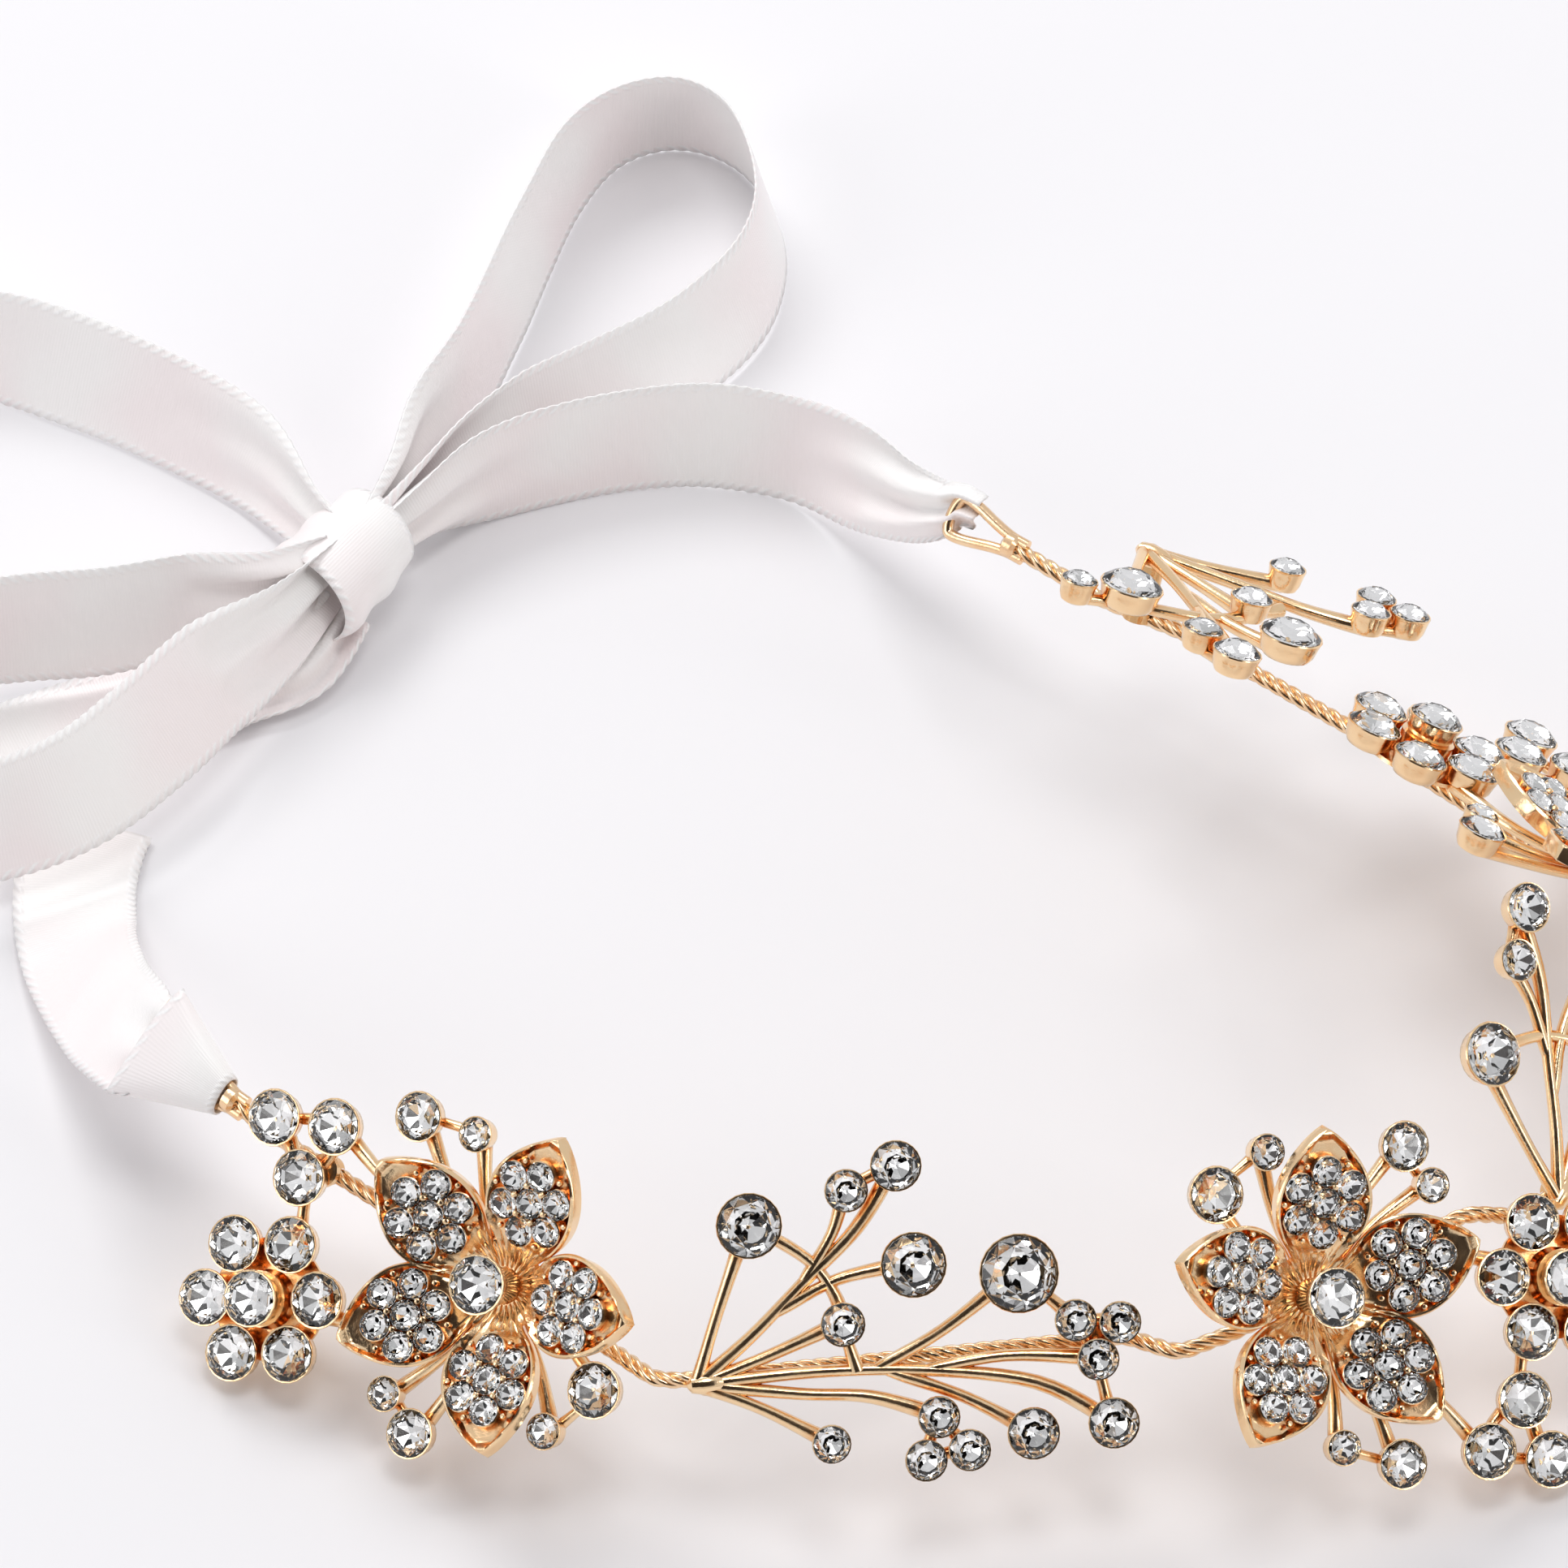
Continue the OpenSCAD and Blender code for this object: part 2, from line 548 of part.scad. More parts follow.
module back_wire() {
    q = back_flower_at;
    free_wire([flex_4, corner_high, behind(q, -8), behind(q, 29), flex_5]);
}
module back_flower_casting() { cast(back_flower_at, back_places) flower_casting(back_flower_at); }
module back_flower_petal_stones() { color(clear) shifted() petal_gems(back_flower_at); }
module back_flower_cluster_stones() { color(clear) shifted() cluster_gems(back_flower_at); }
module back_flower_berry_stones() { color(clear) shifted() berry_gems(back_flower_at); }
module back_flower_heart_stone() { color(clear) shifted() heart_gem(back_flower_at); }
module back_flower_solder() { soldered(back_flower_at, back_places); }

right_neck = eye_neck(right_bar, right_eye_heading, 6.4);
module end_wire() {
    q = back_spray_at;
    color(gold) shifted()
        wire_piece([flex_5, behind(q, -6), behind(q, 3), right_neck], true, false);
}
module right_eye() { color(gold) shifted() eye(right_bar, right_eye_heading, 6.4, 7.2); }
module back_spray_casting() { cast(back_spray_at, end_places) spray_casting(back_spray_at); }
module back_spray_stones() { color(clear) shifted() spray_gems(back_spray_at); }
module back_spray_solder() { soldered(back_spray_at, end_places); }

module left_ribbon_sleeve() {
    color(satin) shifted() {
        sleeve_layer(1);
        sleeve_layer(-1);
    }
}
module left_ribbon_lead() { color(satin) shifted() ribbon(left_lead_rows); }
module right_ribbon_lead() { color(satin) shifted() ribbon(right_lead_rows); }
module bow_knot() { color(satin) shifted() knot_barrel(); }
module bow_right_loop() { color(satin) shifted() ribbon(right_loop_rows); }
module bow_left_loop() { color(satin) shifted() ribbon(left_loop_rows); }
module upper_tail() { color(satin) shifted() ribbon(upper_tail_rows); }
module lower_tail() { color(satin) shifted() ribbon(lower_tail_rows); }

front_wire();
front_spray_casting();
front_spray_stones();
front_spray_solder();
left_wire();
left_eye();
left_flower_casting();
left_flower_petal_stones();
left_flower_cluster_stones();
left_flower_berry_stones();
left_flower_heart_stone();
left_flower_solder();
right_wire();
right_flower_casting();
right_flower_petal_stones();
right_flower_cluster_stones();
right_flower_berry_stones();
right_flower_heart_stone();
right_flower_solder();
side_wire();
right_spray_casting();
right_spray_stones();
right_spray_solder();
back_wire();
back_flower_casting();
back_flower_petal_stones();
back_flower_cluster_stones();
back_flower_berry_stones();
back_flower_heart_stone();
back_flower_solder();
end_wire();
right_eye();
back_spray_casting();
back_spray_stones();
back_spray_solder();
left_ribbon_sleeve();
left_ribbon_lead();
right_ribbon_lead();
bow_knot();
bow_right_loop();
bow_left_loop();
upper_tail();
lower_tail();
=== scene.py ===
# %% [markdown]
# # A flower crown
#
# This lesson builds the looks of a bridal flower crown: a twisted gold wire that carries
# cast flowers and sprays, set with clear faceted stones, and tied with a satin ribbon bow.
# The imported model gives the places. Everything made here is in metres, in that same frame.

import math
import random

import bmesh
import bpy
from mathutils import Matrix, Vector
from mathutils.bvhtree import BVHTree


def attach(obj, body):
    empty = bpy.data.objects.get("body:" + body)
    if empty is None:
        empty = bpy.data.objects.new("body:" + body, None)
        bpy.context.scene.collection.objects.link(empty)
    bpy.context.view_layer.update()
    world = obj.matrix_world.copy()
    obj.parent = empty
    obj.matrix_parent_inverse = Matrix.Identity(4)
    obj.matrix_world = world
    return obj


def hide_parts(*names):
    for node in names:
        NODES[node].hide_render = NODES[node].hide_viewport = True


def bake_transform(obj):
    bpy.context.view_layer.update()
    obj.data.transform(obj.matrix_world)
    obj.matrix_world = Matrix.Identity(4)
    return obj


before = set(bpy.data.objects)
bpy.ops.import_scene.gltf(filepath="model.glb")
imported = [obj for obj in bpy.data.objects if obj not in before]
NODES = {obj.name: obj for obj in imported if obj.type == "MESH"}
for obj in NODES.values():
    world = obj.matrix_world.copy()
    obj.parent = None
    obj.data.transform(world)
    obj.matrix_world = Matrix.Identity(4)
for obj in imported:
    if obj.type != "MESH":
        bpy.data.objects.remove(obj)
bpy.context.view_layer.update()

# %% [markdown]
# ## Where things are
#
# The crown was designed in millimetres round one table corner and then moved, so that its
# origin is under its middle. The same numbers are repeated here. Each casting lies on a
# tilted face: s runs along the wire, v runs up the face and w stands out of it.

# %% Sizes and places of the design
MM = 0.001
CROWN_SHIFT = Vector((-61.06, 93.6, 0))
WIRE_RISE = 18.0
LEAN = math.radians(45)
WIRE_R = 0.85
STEM_R = 0.75
WIRE_UNDER = WIRE_R + STEM_R + 0.05


def face_axes(heading, lean=LEAN):
    """Along the wire, up the face and out of it, for a face whose wire has this heading."""
    along = Vector((math.cos(heading), math.sin(heading), 0))
    across = Vector((-along.y, along.x, 0))
    up = math.sin(lean) * across + Vector((0, 0, math.cos(lean)))
    return along, up, along.cross(up)


class Plaque:
    """One casting's place: x, y, height over the front, wire heading, spin, stand-off, lean."""

    def __init__(self, body, x, y, dz, heading, spin, stand_off=0.0, short=False, lean=0.0):
        self.body = body
        self.origin = Vector((x, y, WIRE_RISE + dz)) + CROWN_SHIFT
        self.along, self.up, self.out = face_axes(math.radians(heading), LEAN + math.radians(lean))
        self.spin = math.radians(spin)
        self.stand_off = stand_off
        self.mirrored = body == "back_spray"
        self.short = short

    def wire_face(self, s, v, w):
        return self.origin + s * self.along + v * self.up + w * self.out

    def at(self, p, w=0.0):
        """A layout point of the casting, after its mirror and its spin."""
        u = -p[0] if self.mirrored else p[0]
        c, s = math.cos(self.spin), math.sin(self.spin)
        return self.wire_face(u * c - p[1] * s, u * s + p[1] * c, w + self.stand_off)

    def axes(self, turn=0.0):
        """The rotation of a thing that stands on the face, turned by an angle in it."""
        basis = Matrix((self.along, self.up, self.out)).transposed()
        return basis @ Matrix.Rotation(self.spin + turn, 3, "Z")


LEFT_FLOWER = Plaque("left_flower", 50.2, -164.1, -1.4, -39, 28)
FRONT_SPRAY = Plaque("front_spray", 68.8, -177.5, 0, 7.3, -5.6)
RIGHT_FLOWER = Plaque("right_flower", 128.3, -168.2, 2, 33, 155)
RIGHT_SPRAY = Plaque("right_spray", 152.6, -153.4, -1.5, 51, 10, short=True)
BACK_FLOWER = Plaque("back_flower", 159.7, -115.5, 1, 140, 176, lean=8)
BACK_SPRAY = Plaque("back_spray", 111.8, -77.7, 0.5, 152, 0, stand_off=4.8, short=True, lean=13)
FLOWERS = [LEFT_FLOWER, RIGHT_FLOWER, BACK_FLOWER]
SPRAYS = [FRONT_SPRAY, RIGHT_SPRAY, BACK_SPRAY]
print("castings:", len(FLOWERS) + len(SPRAYS))

# %% [markdown]
# ## The camera, the floor and the light
#
# The crown lies on a pale sweep and is seen from the front and from well above it, through
# a long lens, so the camera stands far away. Gold and cut stones show only what they
# reflect, so the light is a few large white panels in an even room. A dark card behind the
# camera gives the dark lines in the gold. It is hidden from the camera, so that it never
# stands in front of the crown when the crown is seen from another side.

# %% Camera
CAMERA_ELEVATION = math.radians(50)
CAMERA_DISTANCE = 2.5
PICTURE_SIDE = 1932
DOTS_PER_MM = 12.5
FRAME_WIDTH = PICTURE_SIDE / DOTS_PER_MM * MM
CAMERA_TARGET = Vector((16.2, -7.3, 17)) * MM

camera_data = bpy.data.cameras.new("camera")
SENSOR_WIDTH = 36
camera_data.sensor_width = SENSOR_WIDTH
camera_data.lens = SENSOR_WIDTH * CAMERA_DISTANCE / FRAME_WIDTH
camera_data.clip_start = 0.05
camera = bpy.data.objects.new("camera", camera_data)
bpy.context.scene.collection.objects.link(camera)
view_from = Vector((0, -math.cos(CAMERA_ELEVATION), math.sin(CAMERA_ELEVATION)))
camera.location = CAMERA_TARGET + CAMERA_DISTANCE * view_from
camera.rotation_euler = (math.pi / 2 - CAMERA_ELEVATION, 0, 0)
bpy.context.scene.camera = camera
print(f"camera: {camera_data.lens:.0f} mm lens, {CAMERA_DISTANCE} m away")


# %% Floor, world and lights
def add_area_light(name, place, size, power):
    """A rectangular panel that faces the crown."""
    data = bpy.data.lights.new(name, "AREA")
    data.shape = "RECTANGLE"
    data.size, data.size_y = size
    data.energy = power
    light = bpy.data.objects.new(name, data)
    light.location = place
    light.rotation_euler = (-Vector(place)).to_track_quat("-Z", "Y").to_euler()
    bpy.context.scene.collection.objects.link(light)


def make_sheet_of_set(name, half_size, color):
    """A flat square of the set, which belongs to the room and not to the crown."""
    bm = bmesh.new()
    bmesh.ops.create_grid(bm, x_segments=1, y_segments=1, size=half_size)
    mesh = bpy.data.meshes.new(name)
    bm.to_mesh(mesh)
    bm.free()
    square = bpy.data.objects.new(name, mesh)
    bpy.context.scene.collection.objects.link(square)
    material = bpy.data.materials.new(name)
    material.use_nodes = True
    shader = material.node_tree.nodes["Principled BSDF"]
    shader.inputs["Base Color"].default_value = (*color, 1)
    shader.inputs["Roughness"].default_value = 0.9
    shader.inputs["Specular IOR Level"].default_value = 0.1
    mesh.materials.append(material)
    return square


make_sheet_of_set("floor", 3, (0.89, 0.88, 0.895))
CARD_HALF_SIZE = 1.7
CARD_BEHIND = 1.12
dark_card = make_sheet_of_set("dark_card", CARD_HALF_SIZE, (0.05, 0.04, 0.035))
dark_card.location = camera.location * CARD_BEHIND
dark_card.rotation_euler = camera.rotation_euler
dark_card.visible_camera = False
world = bpy.data.worlds.new("even_room")
bpy.context.scene.world = world
world.use_nodes = True
world.node_tree.nodes["Background"].inputs["Color"].default_value = (0.97, 0.97, 1.0, 1)
world.node_tree.nodes["Background"].inputs["Strength"].default_value = 0.72
add_area_light("back_panel", (-0.35, 0.75, 0.95), (0.75, 0.5), 5.4)
add_area_light("top_panel", (0.1, -0.1, 1.25), (0.45, 0.45), 2.9)
add_area_light("left_panel", (-1.0, -0.35, 0.55), (0.4, 0.8), 1.8)
add_area_light("right_strip", (0.95, -0.5, 0.6), (0.22, 0.8), 1.8)
bpy.context.scene.view_settings.view_transform = "Standard"

# %% [markdown]
# ## Finishes
#
# Four finishes cover the crown: plated gold, glass with a foil back, solder and satin.
# The plating goes to a deep orange in the hollows. That orange is painted shade, mixed in by a baked
# mask of how shut in each point is. That comes from a group that mixes two colours by a
# mask, because the castings, the rope and the solder all use it.


# %% Helpers for node trees
def new_material(name):
    material = bpy.data.materials.new(name)
    material.use_nodes = True
    tree = material.node_tree
    return material, tree, tree.nodes["Principled BSDF"]


def add_node(tree, kind, **settings):
    node = tree.nodes.new(kind)
    for key, value in settings.items():
        setattr(node, key, value)
    return node


def object_coordinates(tree):
    return add_node(tree, "ShaderNodeTexCoord").outputs["Object"]


def noise(tree, scale, detail=3.0, vector=None):
    node = add_node(tree, "ShaderNodeTexNoise")
    node.inputs["Scale"].default_value = scale
    node.inputs["Detail"].default_value = detail
    tree.links.new(vector or object_coordinates(tree), node.inputs["Vector"])
    return node.outputs["Fac"]


def spread(tree, value, low, high, to_low=0.0, to_high=1.0):
    node = add_node(tree, "ShaderNodeMapRange")
    for socket, number in zip(("From Min", "From Max", "To Min", "To Max"), (low, high, to_low, to_high)):
        node.inputs[socket].default_value = number
    tree.links.new(value, node.inputs["Value"])
    return node.outputs["Result"]


# %% The plating group
def make_plating_group():
    group = bpy.data.node_groups.new("plating", "ShaderNodeTree")
    sockets = [
        ("Painted Shade", "INPUT", "NodeSocketFloat"), ("Bright", "INPUT", "NodeSocketColor"),
        ("Shade Color", "INPUT", "NodeSocketColor"), ("Grain", "INPUT", "NodeSocketFloat"),
        ("Color", "OUTPUT", "NodeSocketColor"), ("Roughness", "OUTPUT", "NodeSocketFloat"),
        ("Height", "OUTPUT", "NodeSocketFloat"),
    ]
    for name, way, kind in sockets:
        group.interface.new_socket(name=name, in_out=way, socket_type=kind)
    given = add_node(group, "NodeGroupInput")
    result = add_node(group, "NodeGroupOutput")
    link = group.links.new
    cloud = noise(group, 420, 4)
    fine = add_node(group, "ShaderNodeTexNoise")
    fine.inputs["Detail"].default_value = 4
    link(object_coordinates(group), fine.inputs["Vector"])
    link(given.outputs["Grain"], fine.inputs["Scale"])
    # Painted shade mask: the shut-in share plus a random cloud mixes in the darker colour.
    mask = add_node(group, "ShaderNodeMath", operation="MULTIPLY_ADD", use_clamp=True)
    link(spread(group, cloud, 0.35, 0.7, -0.12, 0.16), mask.inputs[2])
    link(given.outputs["Painted Shade"], mask.inputs[0])
    mask.inputs[1].default_value = 1.0
    mix = add_node(group, "ShaderNodeMix", data_type="RGBA")
    link(mask.outputs[0], mix.inputs["Factor"])
    link(given.outputs["Bright"], mix.inputs["A"])
    link(given.outputs["Shade Color"], mix.inputs["B"])
    link(mix.outputs["Result"], result.inputs["Color"])
    link(spread(group, cloud, 0.3, 0.7, 0.12, 0.26), result.inputs["Roughness"])
    link(fine.outputs["Fac"], result.inputs["Height"])
    return group


plating_group = make_plating_group()


def make_gold(name, bright, deep, grain, bump, hollow_from=None):
    material, tree, shader = new_material(name)
    plating = add_node(tree, "ShaderNodeGroup", node_tree=plating_group)
    plating.inputs["Bright"].default_value = (*bright, 1)
    plating.inputs["Shade Color"].default_value = (*deep, 1)
    plating.inputs["Grain"].default_value = grain
    # Painted shade: the baked mask darkens the gold in the hollows. Without it, the darker colour is mixed in
    # at an even share.
    if hollow_from:
        hollow = add_node(tree, "ShaderNodeAttribute", attribute_name=hollow_from)
        tree.links.new(hollow.outputs["Fac"], plating.inputs["Painted Shade"])
    else:
        plating.inputs["Painted Shade"].default_value = 0.15
    relief = add_node(tree, "ShaderNodeBump")
    relief.inputs["Strength"].default_value = bump
    relief.inputs["Distance"].default_value = 0.00008
    tree.links.new(plating.outputs["Height"], relief.inputs["Height"])
    tree.links.new(plating.outputs["Color"], shader.inputs["Base Color"])
    tree.links.new(plating.outputs["Roughness"], shader.inputs["Roughness"])
    tree.links.new(relief.outputs["Normal"], shader.inputs["Normal"])
    shader.inputs["Metallic"].default_value = 1.0
    return material


BRIGHT_GOLD = (0.96, 0.70, 0.42)
# The darker colour is painted shade in the hollows of the castings.
PAINTED_SHADE_GOLD = (0.80, 0.33, 0.09)
gold_casting = make_gold("gold_casting", BRIGHT_GOLD, PAINTED_SHADE_GOLD, 2600, 0.25, "hollow")
gold_wire = make_gold("gold_wire", (0.96, 0.71, 0.45), PAINTED_SHADE_GOLD, 3200, 0.2)
solder_finish = make_gold("solder", (0.80, 0.50, 0.24), (0.62, 0.28, 0.09), 1500, 0.5)
print("gold finishes:", gold_casting.name, gold_wire.name, solder_finish.name)


# %% Glass and foil
def make_glass():
    material, _, shader = new_material("stone_glass")
    shader.inputs["Base Color"].default_value = (1.0, 1.0, 0.99, 1)
    shader.inputs["Roughness"].default_value = 0.0
    shader.inputs["IOR"].default_value = 1.58
    shader.inputs["Transmission Weight"].default_value = 1.0
    return material


def make_foil():
    """Silver foil whose facets are painted light or dark, as painted sparkle, by the attribute called tone.
    """
    material, tree, shader = new_material("stone_foil")
    shader.inputs["Metallic"].default_value = 1.0
    shader.inputs["Roughness"].default_value = 0.04
    # Painted reflection: a dark and a bright foil colour per facet stand in for the light and dark that a cut
    # stone reflects.
    painted_facet_light = add_node(tree, "ShaderNodeMix", data_type="RGBA")
    painted_facet_light.inputs["A"].default_value = (0.27, 0.28, 0.27, 1)
    painted_facet_light.inputs["B"].default_value = (0.99, 0.99, 0.985, 1)
    facet = add_node(tree, "ShaderNodeAttribute", attribute_name="painted_facet_light")
    tree.links.new(facet.outputs["Fac"], painted_facet_light.inputs["Factor"])
    tree.links.new(painted_facet_light.outputs["Result"], shader.inputs["Base Color"])
    return material


stone_glass = make_glass()
stone_foil = make_foil()


# %% [markdown]
# ## Satin
#
# Satin ribbon has a shiny face woven of long floats, so it gleams in soft bands, and a
# firm woven edge with a line of tiny loops. The soft bands are also painted into its colour,
# as whitish painted sheen and pinkish painted shade. The strips made below carry a UV map in
# centimetres: U runs along the ribbon and V across it, so the weave follows every fold.

# %% Satin finish
def make_satin():
    material, tree, shader = new_material("satin_ribbon")
    link = tree.links.new
    uv = add_node(tree, "ShaderNodeUVMap", uv_map="ribbon")
    split = add_node(tree, "ShaderNodeSeparateXYZ")
    link(uv.outputs["UV"], split.inputs["Vector"])
    ribs = add_node(tree, "ShaderNodeTexWave", bands_direction="X")
    ribs.inputs["Scale"].default_value = 10.0
    ribs.inputs["Distortion"].default_value = 0.3
    link(uv.outputs["UV"], ribs.inputs["Vector"])
    across = add_node(tree, "ShaderNodeMath", operation="ABSOLUTE")
    link(split.outputs["Y"], across.inputs[0])
    edge = spread(tree, across.outputs[0], 0.50, 0.53)
    stitch = add_node(tree, "ShaderNodeTexWave", bands_direction="DIAGONAL")
    stitch.inputs["Scale"].default_value = 5.2
    link(uv.outputs["UV"], stitch.inputs["Vector"])
    knit = add_node(tree, "ShaderNodeMath", operation="MULTIPLY")
    link(edge, knit.inputs[0])
    link(stitch.outputs["Fac"], knit.inputs[1])
    height = add_node(tree, "ShaderNodeMath", operation="MULTIPLY_ADD")
    height.inputs[1].default_value = 0.22
    link(ribs.outputs["Fac"], height.inputs[0])
    link(knit.outputs[0], height.inputs[2])
    relief = add_node(tree, "ShaderNodeBump")
    relief.inputs["Strength"].default_value = 0.35
    relief.inputs["Distance"].default_value = 0.0002
    link(height.outputs[0], relief.inputs["Height"])
    link(relief.outputs["Normal"], shader.inputs["Normal"])
    # Painted sheen and shade: a slow noise mixes whitish sheen bands and pinkish shaded bands into the
    # colour.
    painted_sheen_tint = add_node(tree, "ShaderNodeMix", data_type="RGBA")
    painted_sheen_tint.inputs["A"].default_value = (0.975, 0.955, 0.94, 1)
    painted_sheen_tint.inputs["B"].default_value = (0.97, 0.895, 0.89, 1)
    link(spread(tree, noise(tree, 0.6, 1, uv.outputs["UV"]), 0.4, 0.62), painted_sheen_tint.inputs["Factor"])
    edge_tint = add_node(tree, "ShaderNodeMix", data_type="RGBA")
    edge_tint.inputs["B"].default_value = (0.985, 0.975, 0.97, 1)
    link(spread(tree, knit.outputs[0], 0.3, 1.0), edge_tint.inputs["Factor"])
    link(painted_sheen_tint.outputs["Result"], edge_tint.inputs["A"])
    link(edge_tint.outputs["Result"], shader.inputs["Base Color"])
    link(spread(tree, ribs.outputs["Fac"], 0, 1, 0.30, 0.38), shader.inputs["Roughness"])
    shader.inputs["Specular IOR Level"].default_value = 0.6
    shader.inputs["Sheen Weight"].default_value = 0.25
    shader.inputs["Sheen Roughness"].default_value = 0.4
    return material


satin = make_satin()
print("satin:", satin.name)

# %% [markdown]
# ## Placing things with Geometry Nodes
#
# The crown has about two hundred stones and ninety cups of only a few shapes. Each shape
# is modelled once, one unit wide. A Geometry Nodes tree then sets a copy on every point,
# reads its turn and size from the point, and makes the copies real.


# %% A tree that sets a shape on points
def tree_input(tree, name, kind):
    return tree.interface.new_socket(name=name, in_out="INPUT", socket_type=kind)


def named_attribute(tree, name, data_type):
    node = add_node(tree, "GeometryNodeInputNamedAttribute", data_type=data_type)
    node.inputs["Name"].default_value = name
    return node.outputs["Attribute"]


def make_setting_tree():
    tree = bpy.data.node_groups.new("set_on_points", "GeometryNodeTree")
    tree_input(tree, "Geometry", "NodeSocketGeometry")
    tree_input(tree, "Shape", "NodeSocketObject")
    tree_input(tree, "Material", "NodeSocketMaterial")
    tree_input(tree, "Back Material", "NodeSocketMaterial")
    tree.interface.new_socket(name="Geometry", in_out="OUTPUT", socket_type="NodeSocketGeometry")
    given = add_node(tree, "NodeGroupInput")
    result = add_node(tree, "NodeGroupOutput")
    shape = add_node(tree, "GeometryNodeObjectInfo")
    place = add_node(tree, "GeometryNodeInstanceOnPoints")
    real = add_node(tree, "GeometryNodeRealizeInstances")
    front = add_node(tree, "GeometryNodeSetMaterial")
    back = add_node(tree, "GeometryNodeSetMaterial")
    link = tree.links.new
    link(given.outputs["Shape"], shape.inputs["Object"])
    link(given.outputs["Geometry"], place.inputs["Points"])
    link(shape.outputs["Geometry"], place.inputs["Instance"])
    link(named_attribute(tree, "turn", "FLOAT_VECTOR"), place.inputs["Rotation"])
    link(named_attribute(tree, "size", "FLOAT_VECTOR"), place.inputs["Scale"])
    link(place.outputs["Instances"], real.inputs["Geometry"])
    link(real.outputs["Geometry"], front.inputs["Geometry"])
    link(given.outputs["Material"], front.inputs["Material"])
    link(front.outputs["Geometry"], back.inputs["Geometry"])
    link(named_attribute(tree, "back", "BOOLEAN"), back.inputs["Selection"])
    link(given.outputs["Back Material"], back.inputs["Material"])
    link(back.outputs["Geometry"], result.inputs["Geometry"])
    return tree


setting_tree = make_setting_tree()


# %% Helpers that turn points and trees into meshes
def add_object(name, mesh):
    thing = bpy.data.objects.new(name, mesh)
    bpy.context.scene.collection.objects.link(thing)
    return thing


def made_by(tree, name, mesh, values):
    """The finished mesh that a tree makes from a start mesh and its named inputs."""
    start = add_object(name + "_start", mesh)
    modifier = start.modifiers.new("nodes", "NODES")
    modifier.node_group = tree
    for socket in tree.interface.items_tree:
        if socket.in_out == "INPUT" and socket.name in values:
            modifier[socket.identifier] = values[socket.name]
    bpy.context.view_layer.update()
    made = start.evaluated_get(bpy.context.evaluated_depsgraph_get())
    result = bpy.data.meshes.new_from_object(made)
    result.name = name
    bpy.data.objects.remove(start)
    return result


def set_on_points(name, shape, places, material, back_material=None):
    """places is a list of (point in mm, 3x3 rotation, size in mm)."""
    mesh = bpy.data.meshes.new(name + "_points")
    mesh.from_pydata([place[0] * MM for place in places], [], [])
    turn = mesh.attributes.new("turn", "FLOAT_VECTOR", "POINT")
    size = mesh.attributes.new("size", "FLOAT_VECTOR", "POINT")
    for index, (_, rotation, widths) in enumerate(places):
        turn.data[index].vector = rotation.to_euler()
        size.data[index].vector = Vector(widths) * MM
    values = {"Shape": shape, "Material": material, "Back Material": back_material or material}
    return made_by(setting_tree, name, mesh, values)


# %% [markdown]
# ## The shapes that repeat
#
# A cut stone is the convex hull of a few rings of points: the table, the crown, the
# girdle and the point at the back. Flat facets with hard edges are what make it sparkle,
# helped by painted sparkle: its foil facets are painted light or dark at random.
# A cup is a turned profile with a thin bright lip that closes over the stone's girdle.

# %% A cut stone, a cup, a pave seat and a bead, all one unit wide


def ring(count, radius, height, turn=0.0):
    angles = [math.tau * (k + turn) / count for k in range(count)]
    return [Vector((radius * math.cos(a), radius * math.sin(a), height)) for a in angles]


def shape_object(name, bm, back_below=None):
    """An unlinked prototype; faces that look down past back_below are its back."""
    mesh = bpy.data.meshes.new(name)
    bmesh.ops.recalc_face_normals(bm, faces=bm.faces)
    bm.to_mesh(mesh)
    bm.free()
    facets = random.Random(3)
    backs, tones = [], []
    for face in mesh.polygons:
        backs.append(back_below is not None and face.normal.z < back_below)
        # Each face gets a random painted light or dark level, which the foil uses as painted sparkle.
        tones.append(facets.choice((0.15, 0.6, 0.85, 1.0, 1.0)))
        face.use_smooth = back_below is None
    mesh.attributes.new("back", "BOOLEAN", "FACE").data.foreach_set("value", backs)
    mesh.attributes.new("painted_facet_light", "FLOAT", "FACE").data.foreach_set("value", tones)
    return bpy.data.objects.new(name, mesh)


def make_stone():
    points = ring(8, 0.27, 0.215) + ring(8, 0.405, 0.13, 0.5) + ring(16, 0.5, 0.045)
    points += ring(16, 0.5, 0.0) + ring(8, 0.30, -0.11, 0.5) + [Vector((0, 0, -0.215))]
    bm = bmesh.new()
    for point in points:
        bm.verts.new(point)
    bmesh.ops.convex_hull(bm, input=bm.verts)
    bmesh.ops.dissolve_limit(bm, angle_limit=math.radians(1), verts=bm.verts, edges=bm.edges)
    return shape_object("cut_stone", bm, back_below=-0.2)


def turned_shape(name, profile, sides):
    """A closed solid turned about Z from (radius, height) points that start and end on it."""
    bm = bmesh.new()
    rows = [[bm.verts.new((0, 0, z))] if r == 0 else
            [bm.verts.new(p) for p in ring(sides, r, z)] for r, z in profile]
    for low, high in zip(rows, rows[1:]):
        for k in range(sides):
            around = [low[k % len(low)], low[(k + 1) % len(low)]]
            around += [high[(k + 1) % len(high)], high[k % len(high)]]
            bm.faces.new(list(dict.fromkeys(around)))
    return shape_object(name, bm)


